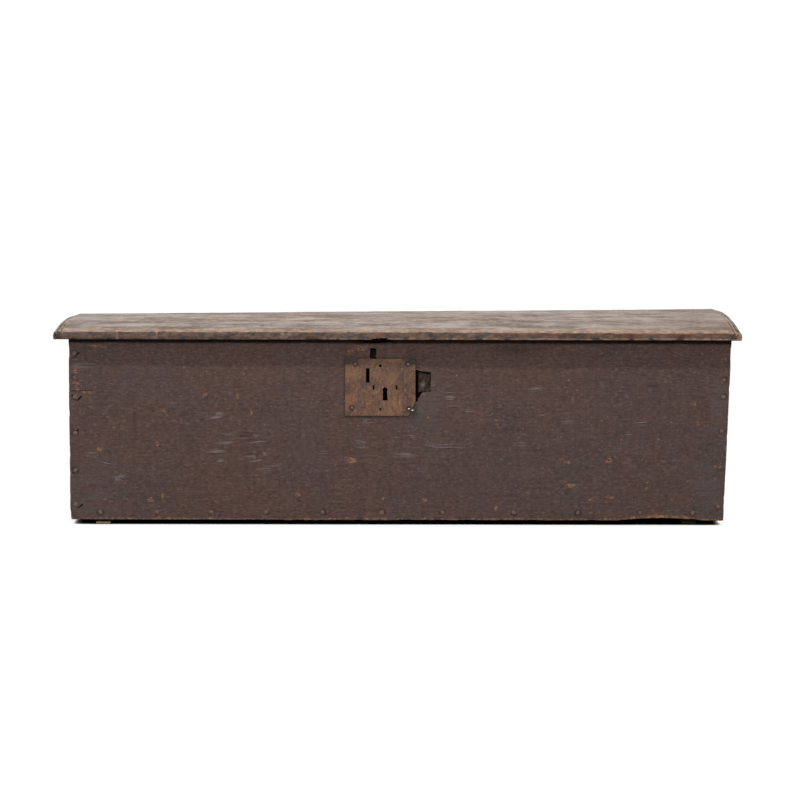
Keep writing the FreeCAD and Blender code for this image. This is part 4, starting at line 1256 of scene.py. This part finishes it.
def end_board(side):
    """One of the ends, painted outside. The right one leans outwards."""
    low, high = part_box(f"{side}_end_plank")
    lean, way = (0, INTO_LEFT) if side == "left" else (RIGHT_LEAN, INTO_RIGHT)
    upright_high = Vector((high.x - lean, high.y, high.z))
    board = saw_board(f"{side}_end_board", low, upright_high, X, BOARD_CELL)
    weather(board, PLANING, PLANING_GRAIN, along_grain(Z, PLANING_STRETCH, 1))
    for vertex in board.data.vertices:
        vertex.co.x += lean * (vertex.co.z - low.z) / (high.z - low.z)
    rows = points(board)
    straight = rows.copy()
    straight[:, X] -= lean * (rows[:, Z] - low.z) / (high.z - low.z)
    wear_marks(board, straight, low, upright_high)
    across = straight[:, X]
    outside = across < low.x + PAINT_SKIN if side == "left" else across > upright_high.x - PAINT_SKIN
    mark(board, "raw", ~outside)
    mark_nails(board, rows, (f"{side}_end_nails",), way)
    return board


def bottom_board():
    """The bottom, never painted."""
    low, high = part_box("bottom_plank")
    board = saw_board("bottom_board", low, high, Z, INNER_CELL)
    weather(board, PLANING * BOTTOM_PLANING_share, PLANING_GRAIN, along_grain(X, PLANING_STRETCH, 1))
    wear_marks(board, points(board), low, high)
    return board


def runner(side):
    """One of the two runners on which the chest stands, with painted shade at its front end but for the left
    one's nose.
    """
    low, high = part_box(f"{side}_runner")
    piece = saw_board(f"{side}_floor_runner", low, high, Z, BOARD_CELL, arris=RUNNER_ARRIS)
    if side == "left":
        draw_nose(piece, low)
    weather(piece, RUNNER_PLANING, RUNNER_GRAIN, along_grain(Y, PLANING_STRETCH, 1),
            where=lambda place: place.z > low.z + RUNNER_FOOT)
    rows = points(piece)
    nose = rows[:, Y] < low.y - SPARE
    mark(piece, "worn", np.where(nose, 1, RUNNER_WORN - edge_gaps(rows, low, high) / WEAR_REACH))
    # Painted shade at the front end, under the chest
    mark(piece, "stain_and_painted_shade", np.where(nose, 0, RUNNER_PAINTED_SHADE - (rows[:, Y] - low.y) / RUNNER_PAINTED_SHADE_REACH))
    return piece


def draw_nose(piece, low):
    """Draws the lower part of a runner's front end forward, under the front."""
    open_up(piece, "FACE")
    bpy.ops.mesh.select_all(action="SELECT")
    bpy.ops.mesh.bisect(plane_co=(0, 0, low.z + NOSE_HEIGHT), plane_no=(0, 0, 1))
    pick_faces(piece, lambda middle, normal: normal.y < -SQUARE and middle.z < low.z + NOSE_HEIGHT)
    draw_out((0, -NOSE_LENGTH, 0))
    put_down()


# Lid

def lid_top(x, y, low, high):
    """Height of the lid's cambered top, without its mouldings."""
    share = (x - low.x) / (high.x - low.x)
    crown = LID_CROWNS[0] + (LID_CROWNS[1] - LID_CROWNS[0]) * share
    ridge_share = LID_RIDGE_shares[0] + (LID_RIDGE_shares[1] - LID_RIDGE_shares[0]) * share
    ridge = low.y + (high.y - low.y) * ridge_share
    run = (ridge - low.y) if y < ridge else (high.y - ridge)
    return low.z + LID_EDGE + crown * (1 - ((y - ridge) / run) ** 2)


def moulding_drop(inset, before):
    """How far an end falls below the camber: a lip, then a bead between quirks that run out in front."""
    lip = LID_LIP_DROP * max(0, 1 - inset / LID_LIP)
    share = min(1, before / MOULDING_FADE)
    return lip + share * (np.interp(inset, MOULDING_INSETS, MOULDING_DROPS) - lip)


def lid_slab(low, high):
    """The cambered slab with its moulded ends, still sharp."""
    size = high - low
    put_down()
    bpy.ops.mesh.primitive_grid_add(x_subdivisions=round(size.x / LID_CELL),
                                    y_subdivisions=round(size.y / LID_CELL),
                                    size=1, location=(0, 0, low.z + LID_EDGE))
    board = bpy.context.object
    board.name = "lid_board"
    board.scale = (size.x, size.y, 1)
    settle(board)
    open_up(board, "FACE")
    for number in range(1, round(MOULDING_END / MOULDING_STEP)):
        for end, inward in ((low.x, 1), (high.x, -1)):
            bpy.ops.mesh.select_all(action="SELECT")
            bpy.ops.mesh.bisect(plane_co=(end + inward * number * MOULDING_STEP, 0, 0), plane_no=(1, 0, 0))
    put_down()
    for vertex in board.data.vertices:
        x, y = vertex.co.x, vertex.co.y
        vertex.co.z = lid_top(x, y, low, high)
        inset = min(x - low.x, high.x - x)
        if inset < MOULDING_END:
            vertex.co.z -= moulding_drop(inset, min(y - low.y, high.y - y))
    open_up(board, "FACE")
    bpy.ops.mesh.select_all(action="SELECT")
    draw_out((0, 0, -LID_EDGE / 2))
    bpy.ops.transform.resize(value=(1, 1, 0), center_override=(0, 0, low.z))
    face_out(board)
    return board


def lid_board():
    """The lid: a cambered slab with moulded ends, worn arrises and a chip in its front."""
    low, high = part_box("lid_plank")
    board = lid_slab(low, high)
    ease_arrises(board, LID_ARRIS,
                 where=lambda place: min(place.x - low.x, high.x - place.x,
                                         place.y - low.y, high.y - place.y) < LID_ARRIS_ROOM)
    open_up(board, "FACE")
    for row in LID_EDGE_ROWS:
        bpy.ops.mesh.select_all(action="SELECT")
        bpy.ops.mesh.bisect(plane_co=(0, 0, low.z + row), plane_no=(0, 0, 1))
    put_down()

    def above_foot(place):
        """0 at the lid's flat underside and 1 above it."""
        return min(1, max(0, (place.z - low.z - LID_FOOT) / LID_FOOT_FADE))

    for depth, grain, stretch in LID_WAVES:
        weather(board, depth, grain, along_grain(X, stretch, 1), where=above_foot)
    wear_arris(board, LID_ARRIS_WEAR, LID_ARRIS_DENTS)
    for vertex in board.data.vertices:
        if vertex.co.y < 0:
            vertex.co.y -= LID_SKEW * (vertex.co.x / high.x) * (vertex.co.y / low.y)
        near_end = max(0, 1 - (high.x - abs(vertex.co.x)) / LID_KNOB_REACH)
        near_front = max(0, 1 - (vertex.co.y - low.y) / LID_KNOB_REACH)
        near_right = max(0, 1 - (high.x - vertex.co.x) / LID_STRETCH_REACH)
        knob = math.copysign(LID_KNOB * near_end * near_front, vertex.co.x)
        vertex.co.x += knob + LID_STRETCH * near_right
    cut(board, chip_cutter(low))
    close_up(board)
    mark_lid(board, low, high)
    return board


def chip_cutter(low):
    """What breaks the chip out of the lid's lower front arris."""
    chip = new_block("chip",
                     (CHIP_MIDDLE - CHIP_WIDTH / 2, low.y - 2 * CUTTER_OVERRUN, low.z - CUTTER_OVERRUN),
                     (CHIP_MIDDLE + CHIP_WIDTH / 2, low.y + CHIP_DEPTH, low.z + CHIP_HEIGHT))
    pick_faces(chip, lambda middle, normal: normal.z > SQUARE)
    bpy.ops.transform.resize(value=(CHIP_TAPER_share, 1, 1), center_override=(CHIP_MIDDLE, low.y, low.z))
    roughen(chip, cuts=5, wander=CHIP_WANDER)
    return chip


def mark_lid(board, low, high):
    """Where the lid is worn light, where its dark edge shows, where dirt sits, and its bare underside."""
    rows = points(board)
    beside = np.minimum(rows[:, X] - low.x, high.x + LID_STRETCH - rows[:, X])
    before = np.minimum(rows[:, Y] - low.y, high.y - rows[:, Y])
    inset = np.minimum(beside, before)
    below_top = np.array([lid_top(x, y, low, high) for x, y in rows[:, :2]]) - rows[:, Z]
    above = rows[:, Z] - low.z
    on_edge = (inset < LID_EDGE_SKIN) & (above > LID_EDGE_START)
    on_front = on_edge & (rows[:, Y] < low.y + LID_FRONT_SKIN)
    on_moulding = above > LID_EDGE / 2
    mark(board, "edge", on_edge & (below_top > LID_TOP_SKIN))
    mark(board, "raw", above < LID_UNDER_SKIN)
    worn = np.maximum(1 - (inset + np.maximum(below_top, 0)) / LID_WEAR_REACH,
                      LID_FOOT_WORN - (inset + above) / LID_WEAR_REACH)
    for ridge in MOULDING_RIDGES:
        worn = np.maximum(worn, (1 - np.abs(beside - ridge) / LID_RIDGE_REACH) * on_moulding)
    share = (rows[:, X] - low.x) / (high.x - low.x)
    for nick in LID_NICK_shares:
        worn = np.maximum(worn, (1 - np.abs(share - nick) * (high.x - low.x) / LID_NICK_REACH) * on_front)
    from_corner = np.hypot(high.x - rows[:, X], rows[:, Y] - low.y)
    worn = np.maximum(worn, LID_CORNER_WORN - from_corner / LID_CORNER_REACH)
    on_top = below_top < LID_TOP_SKIN
    worn = np.maximum(worn, (LID_FRONT_WORN - (rows[:, Y] - low.y) / LID_FRONT_REACH) * on_top)
    mark(board, "worn", worn)
    from_end = np.abs(rows[:, X] - low.x)
    stain_and_painted_shade = (LID_END_DIRT - from_end / LID_END_REACH) * on_front * (above > LID_END_START)
    for quirk in MOULDING_QUIRKS:
        stain_and_painted_shade = np.maximum(stain_and_painted_shade, (1 - np.abs(beside - quirk) / LID_QUIRK_REACH) * on_moulding)
    mark(board, "stain_and_painted_shade", stain_and_painted_shade)


def lid_chip_rule():
    """The rule that picks what lies inside the chip in the lid's lower front arris."""
    low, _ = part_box("lid_plank")

    def inside(place, normal):
        near = abs(place.x - CHIP_MIDDLE) < CHIP_WIDTH / 2 and place.y < low.y + CHIP_DEPTH + CHIP_ROOM[1]
        level = CHIP_START < place.z - low.z < CHIP_HEIGHT + CHIP_ROOM[0]
        return near and level and (normal.z < -CHIP_OVERHANG or place.y > low.y + CHIP_SKIN)

    return inside


# Nails

def nail_seats(node, way, kind):
    """Where each nail of a group, driven in a way, sits: the middle of its head where it meets the board."""
    head, rise = kind[:2]
    groups = []
    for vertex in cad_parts[node].data.vertices:
        flat = vertex.co - way * vertex.co.dot(way)
        for group in groups:
            if (group[0][0] - flat).length < head * NAIL_APART_share:
                group.append((flat, vertex.co.dot(way)))
                break
        else:
            groups.append([(flat, vertex.co.dot(way))])
    seats = []
    for group in groups:
        flats = np.array([flat for flat, _ in group])
        middle = Vector((flats.min(0) + flats.max(0)) / 2)
        seats.append(middle + way * (min(deep for _, deep in group) + rise))
    return seats


def forge_nail(kind):
    """A hand-forged nail, head up, with its head's underside at the origin and a shank that tapers."""
    head, rise, shank, length = kind
    rim = rise * NAIL_RIM_share
    put_down()
    bpy.ops.mesh.primitive_cylinder_add(vertices=NAIL_SIDES, radius=head / 2, depth=rim,
                                        location=(0, 0, rim / 2))
    nail = bpy.context.object
    settle(nail)
    pick_faces(nail, lambda middle, normal: normal.z > SQUARE)
    for inward_share, up_share in NAIL_SLOPE_shares:
        bpy.ops.mesh.inset(thickness=head * inward_share, depth=rise * up_share)
    bpy.ops.mesh.poke(offset=rise * NAIL_PEAK_share)
    pick_faces(nail, lambda middle, normal: normal.z < -SQUARE)
    bpy.ops.mesh.inset(thickness=(head - shank) / 2)
    for length_share, left_share in NAIL_SHANK_shares:
        draw_out((0, 0, -length * length_share))
        bpy.ops.transform.resize(value=(left_share, left_share, 1), center_override=(0, 0, 0))
    put_down()
    # The crown is marked worn: wear, and a painted highlight
    mark(nail, "worn", points(nail)[:, Z] > rise * NAIL_WORN_CROWN_HIGHLIGHT_share)
    return nail


def nail_group(name, node, way, kind, head_share=lambda seat: 1):
    """A nail for every seat of a group, each a little turned and dented in its own way, as one piece."""
    pattern = forge_nail(kind)
    copies = []
    for seat in nail_seats(node, way, kind):
        take(pattern)
        bpy.ops.object.duplicate()
        nail = bpy.context.object
        turn = Matrix.Rotation(chance.uniform(0, math.tau), 3, "Z")
        stand = (-way).to_track_quat("Z", "Y").to_matrix()
        wide = head_share(seat)
        along, across, flat = [chance.uniform(*shares) for shares in NAIL_SQUASH_shares]
        squash = Matrix.Diagonal((wide * along, wide * across, flat))
        for vertex in nail.data.vertices:
            place = vertex.co
            if vertex.co.z > -NAIL_UNDERSIDE:
                place = squash @ place
            if vertex.co.z > NAIL_UNDERSIDE:
                place = place + Vector([chance.uniform(-1, 1) for _ in range(3)]) * NAIL_WANDER * wide
            vertex.co = stand @ (turn @ place) + seat
        copies.append(nail)
    bpy.data.objects.remove(pattern)
    put_down()
    for nail in copies:
        nail.select_set(True)
    bpy.context.view_layer.objects.active = copies[0]
    bpy.ops.object.join()
    group = bpy.context.object
    group.name = name
    return group


def drive_nails(name, node, way, kind, body, iron):
    """Puts a group of forged nails in."""
    nails = nail_group(name, node, way, kind)
    shade(nails, NAIL_ANGLE)
    dress(nails, body, "nail_iron", [iron], node)


# Lock

def lock_face():
    """The lock plate: sheet iron with one cut corner, its slots and holes filed through."""
    low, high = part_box("lock_plate")
    middle = plate_middle()
    x, z = middle.x, middle.z
    plate = saw_board("rusty_lock_plate", low, high, Y, PLATE_CELL, arris=PLATE_ARRIS)
    for depth, grain in PLATE_WAVES:
        weather(plate, depth, grain, where=lambda place: float(place.y < middle.y))
    for vertex in plate.data.vertices:
        edge = min(vertex.co.x - low.x, high.x - vertex.co.x, vertex.co.z - low.z, high.z - vertex.co.z)
        if edge < PLATE_RIM:
            vertex.co.x += PLATE_RIM_WANDER * noise.noise(vertex.co / PLATE_RIM_GRAINS[0])
            vertex.co.z += PLATE_RIM_WANDER * noise.noise(vertex.co / PLATE_RIM_GRAINS[1])
    front, back = low.y - CUTTER_OVERRUN, high.y + CUTTER_OVERRUN
    cut(plate, corner_cutter(low, high, front, back))
    holes = [slot_cutter(x + SLOT_PLACE[0], z + SLOT_PLACE[1], SLOT_SIZE, front, back),
             key_cutter(x + KEY_PLACE[0], z + KEY_PLACE[1], front, back)]
    for side in (-1, 1):
        holes.append(slot_cutter(x + KEY_PLACE[0] + side * WARD_REACH, z, WARD_SIZE, front, back))
    cut(plate, *holes, *empty_hole_cutters(x, z, front, back))
    close_up(plate)
    mark_plate(plate, low, high)
    return plate


def mark_plate(plate, low, high):
    """Where the plate is worn, and its stains round the nails and at its upper corners."""
    rows = points(plate)
    wear_marks(plate, rows, low, high, PLATE_WORN, PLATE_WEAR_REACH)
    stain_and_painted_shade = np.zeros(len(rows))
    for seat in nail_seats("lock_plate_nails", INTO_FRONT, PLATE_NAIL):
        stain_and_painted_shade = np.maximum(stain_and_painted_shade, 1 - np.linalg.norm(rows - np.array(seat), axis=1) / PLATE_NAIL_REACH)
    for corner_x in (low.x, high.x):
        from_corner = np.hypot((rows[:, X] - corner_x) / 2, rows[:, Z] - high.z)
        stain_and_painted_shade = np.maximum(stain_and_painted_shade, PLATE_CORNER_STAIN - from_corner / PLATE_CORNER_REACH)
    mark(plate, "stain_and_painted_shade", stain_and_painted_shade)


def corner_cutter(low, high, front, back):
    """What cuts the plate's lower right corner off."""
    corner = new_block("corner", (high.x - PLATE_CUT[0], front, low.z - CUTTER_OVERRUN),
                       (high.x + CUTTER_OVERRUN, back, low.z + PLATE_CUT[1]))
    for vertex in corner.data.vertices:
        if vertex.co.x < high.x:
            vertex.co.x = high.x - PLATE_CUT[0] * (1 - (vertex.co.z - low.z) / PLATE_CUT[1])
    return corner


def bright_nail_rule():
    """The rule that picks the two newer nails, at the plate's lower right."""
    low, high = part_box("lock_plate")
    return lambda place, _: place.x > high.x - BRIGHT_NAIL_REACH and place.z < (low.z + high.z) / 2


def slot_cutter(x, z, size, front, back):
    """What files an upright slot through the plate."""
    wide, tall = size
    return new_block("slot", (x - wide / 2, front, z - tall / 2), (x + wide / 2, back, z + tall / 2))


def round_cutter(x, z, radius, front, back):
    """What drills a round hole."""
    put_down()
    bpy.ops.mesh.primitive_cylinder_add(vertices=DRILL_SIDES, radius=radius, depth=back - front,
                                        location=(x, (front + back) / 2, z), rotation=(math.pi / 2, 0, 0))
    cutter = bpy.context.object
    settle(cutter)
    return cutter


def key_cutter(x, z, front, back):
    """The keyhole: a round head over a foot that widens downwards."""
    foot = new_block("key_foot", (x - KEY_WAIST / 2, front, z - KEY_DROP), (x + KEY_WAIST / 2, back, z))
    pick_faces(foot, lambda middle, normal: normal.z < -SQUARE)
    bpy.ops.transform.resize(value=(KEY_FOOT / KEY_WAIST, 1, 1), center_override=(x, 0, z))
    head = round_cutter(x, z, KEY_HEAD / 2, front, back)
    finish_with(head, "BOOLEAN", operation="UNION", solver="EXACT", object=foot)
    bpy.data.objects.remove(foot)
    return head


# Hinges

def smithed(node, name, voxel, hammer):
    """A smith's version of an iron piece of the frame: its edges drawn soft, its faces hammered."""
    piece = bpy.data.objects.new(name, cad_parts[node].data.copy())
    bpy.context.scene.collection.objects.link(piece)
    open_up(piece, "VERT")
    bpy.ops.mesh.select_all(action="SELECT")
    bpy.ops.mesh.remove_doubles(threshold=FRAME_JOIN_GAP)
    put_down()
    finish_with(piece, "REMESH", mode="VOXEL", voxel_size=voxel, use_smooth_shade=True)
    finish_with(piece, "SMOOTH", factor=0.5, iterations=2)
    weather(piece, hammer, HAMMER_GRAIN)
    return piece


# Put the chest together

paint_along = umber_paint("umber_paint", X)
paint_upright = umber_paint("umber_paint_upright", Z)
lid_finish = lid_wood()
wood_along = bare_wood("bare_softwood", X)
wood_across = bare_wood("bare_softwood_across", Y)
plate_rust = rusty_iron("lock_plate_rust", tone(114, 82, 62), tone(76, 56, 48), tone(46, 36, 33))
# Nail irons: their third tone lights the crowns, as wear and as a painted highlight
plate_nail_iron = rusty_iron("plate_nail_rust", tone(122, 92, 78), tone(84, 62, 54), tone(136, 101, 83),
                             pits=0.3 * MM)
nail_iron = rusty_iron("forged_nail_iron", tone(88, 70, 63), tone(50, 40, 37), tone(106, 87, 80),
                       pits=0.3 * MM, rust=0.6)
hinge_iron = rusty_iron("wrought_hinge_iron", tone(66, 56, 50), tone(40, 35, 33), tone(84, 70, 62),
                        pits=0.4 * MM, metal=0.3)
works_iron = rusty_iron("lock_works_iron", tone(30, 26, 23), tone(14, 12, 11), tone(40, 34, 30),
                        pits=0.2 * MM, metal=0.2, rust=0.15)
# The ward bridge, seen through the ward slots: near black, as painted shade
ward_iron = rusty_iron("ward_iron_painted_black_shade", tone(12, 10, 9), tone(6, 5, 5), tone(14, 12, 11),
                       pits=0.2 * MM, rust=0.1, gloss=0.04)
painted_shade_wood = cut_wood()
bright_nails = bright_steel()

front = front_board()
shade(front)
dress(front, "chest", "painted_wood", [paint_along, painted_shade_wood], "front_plank")
# Faces inside the cuts round the lock take the painted black shade
second_finish(front, front_cut_rule())

for piece, node, slot, finish in [
    (back_board(), "back_plank", "painted_wood", paint_along),
    (end_board("left"), "left_end_plank", "painted_wood", paint_upright),
    (end_board("right"), "right_end_plank", "painted_wood", paint_upright),
    (bottom_board(), "bottom_plank", "bare_wood", wood_along),
    (runner("left"), "left_runner", "bare_wood", wood_across),
    (runner("right"), "right_runner", "bare_wood", wood_across),
]:
    shade(piece)
    dress(piece, "chest", slot, [finish], node)

lid = lid_board()
shade(lid)
dress(lid, "lid", "worn_lid_wood", [lid_finish, painted_shade_wood], "lid_plank")
# Faces inside the chip in the lid's front take the painted black shade
second_finish(lid, lid_chip_rule())

for nodes, way, kind in [
    (FRONT_NAILS, INTO_FRONT, PLANK_NAIL),
    (BACK_NAILS, INTO_BACK, PLANK_NAIL),
    (("left_end_nails",), INTO_LEFT, PLANK_NAIL),
    (("right_end_nails",), INTO_RIGHT, PLANK_NAIL),
    (("left_runner_nails", "right_runner_nails"), UPWARDS, RUNNER_NAIL),
]:
    for node in nodes:
        drive_nails("forged_" + node, node, way, kind, "chest", nail_iron)

plate = lock_face()
shade(plate)
dress(plate, "chest", "rusty_iron", [plate_rust], "lock_plate")

is_bright = bright_nail_rule()
plate_nails = nail_group("forged_lock_plate_nails", "lock_plate_nails", INTO_FRONT, PLATE_NAIL,
                         lambda seat: BRIGHT_HEAD_share if is_bright(seat, None) else PLATE_HEAD_share)
shade(plate_nails, NAIL_ANGLE)
dress(plate_nails, "chest", "nail_iron", [plate_nail_iron, bright_nails], "lock_plate_nails")
second_finish(plate_nails, is_bright)

for side in ("left", "right"):
    for part, body, _, form, hammer in HINGE_PARTS:
        node = f"{side}_hinge_{part}"
        iron = smithed(node, f"{side}_wrought_{part}", form, hammer)
        dress(iron, body, "hinge_iron", [hinge_iron], node)
    for part, body, way, *_ in HINGE_PARTS:
        node = f"{side}_{part}_nails"
        drive_nails(f"{side}_forged_{part}_nails", node, way, HINGE_NAIL, body, nail_iron)

for node, finish in [
    ("left_hinge_pin", hinge_iron), ("right_hinge_pin", hinge_iron),
    ("lock_bolt", works_iron), ("lock_left_guide", works_iron), ("lock_right_guide", works_iron),
    ("lock_spring", works_iron), ("lock_ward_bridge", ward_iron),
]:
    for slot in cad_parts[node].material_slots:
        slot.material = finish


# Floor, light and camera

def pale_floor():
    """A floor that glows white to the camera, with the chest's shade painted into the glow, and throws
    little light back.
    """
    put_down()
    bpy.ops.mesh.primitive_plane_add(size=FLOOR_SIZE, location=(0, 0, 0))
    floor = bpy.context.object
    floor.name = "pale_floor"
    f = Finish("pale_floor_glow_with_painted_shade")
    near = f.node("AmbientOcclusion", samples=12)
    near.inputs["Distance"].default_value = FLOOR_SHADE_NEAR
    far = f.node("AmbientOcclusion", samples=12)
    far.inputs["Distance"].default_value = FLOOR_SHADE_FAR
    # Painted shade: the glow darkens where the chest stands near
    lit = f.times(f.between(near.outputs["AO"], 0.2, 0.45),
                  f.between(far.outputs["AO"], 0.3, 0.95, 0.95, 1.0))
    seen = f.node("LightPath").outputs["Is Camera Ray"]
    f.feed(f.shader.inputs["Emission Color"], f.mix(lit, tone(0, 0, 0), (1, 1, 1, 1)))
    f.feed(f.shader.inputs["Emission Strength"], f.times(seen, FLOOR_SHOWS))
    dim = f.mix(seen, tone(110, 110, 110), tone(0, 0, 0))
    floor.data.materials.append(f.done(dim, 0.9, gloss=0.0))


def hang_lamp(name, place, aim, wide, tall, power):
    """Hangs up an oblong lamp and aims it."""
    lamp = bpy.data.lights.new(name, "AREA")
    lamp.shape = "RECTANGLE"
    lamp.size, lamp.size_y = wide, tall
    lamp.energy = power
    holder = bpy.data.objects.new(name, lamp)
    bpy.context.scene.collection.objects.link(holder)
    holder.location = place
    holder.rotation_euler = (Vector(aim) - Vector(place)).to_track_quat("-Z", "Y").to_euler()


def studio_light():
    """A wide lamp in front, a long thin one above, and a white room that shows more than it lights."""
    world = bpy.data.worlds.new("white_studio")
    bpy.context.scene.world = world
    world.use_nodes = True
    nodes, links = world.node_tree.nodes, world.node_tree.links
    room = nodes["Background"]
    room.inputs["Color"].default_value = (1, 1, 1, 1)
    path = nodes.new("ShaderNodeLightPath")
    dim = nodes.new("ShaderNodeMapRange")
    links.new(path.outputs["Is Diffuse Ray"], dim.inputs["Value"])
    dim.inputs["To Min"].default_value = ROOM_SHOWS
    dim.inputs["To Max"].default_value = ROOM_LIGHTS
    links.new(dim.outputs["Result"], room.inputs["Strength"])
    hang_lamp("wide_lamp_in_front", FRONT_LAMP_PLACE, LAMP_AIM, *FRONT_LAMP)
    hang_lamp("long_lamp_above", TOP_LAMP_PLACE, LAMP_AIM, *TOP_LAMP)
    bpy.context.scene.view_settings.view_transform = "Standard"


def photograph_camera():
    """The camera, where the photograph was taken from."""
    camera = bpy.data.cameras.new("photograph_camera")
    camera.sensor_width = SENSOR
    camera.lens = FOCAL_PIXELS / IMAGE_PIXELS * SENSOR
    holder = bpy.data.objects.new("photograph_camera", camera)
    bpy.context.scene.collection.objects.link(holder)
    holder.location = CAMERA_PLACE
    level = Euler((math.pi / 2 - CAMERA_PITCH, 0, -CAMERA_YAW)).to_matrix()
    holder.rotation_euler = (level @ Matrix.Rotation(CAMERA_ROLL, 3, "Z")).to_euler()
    bpy.context.scene.camera = holder


pale_floor()
studio_light()
photograph_camera()
put_down()
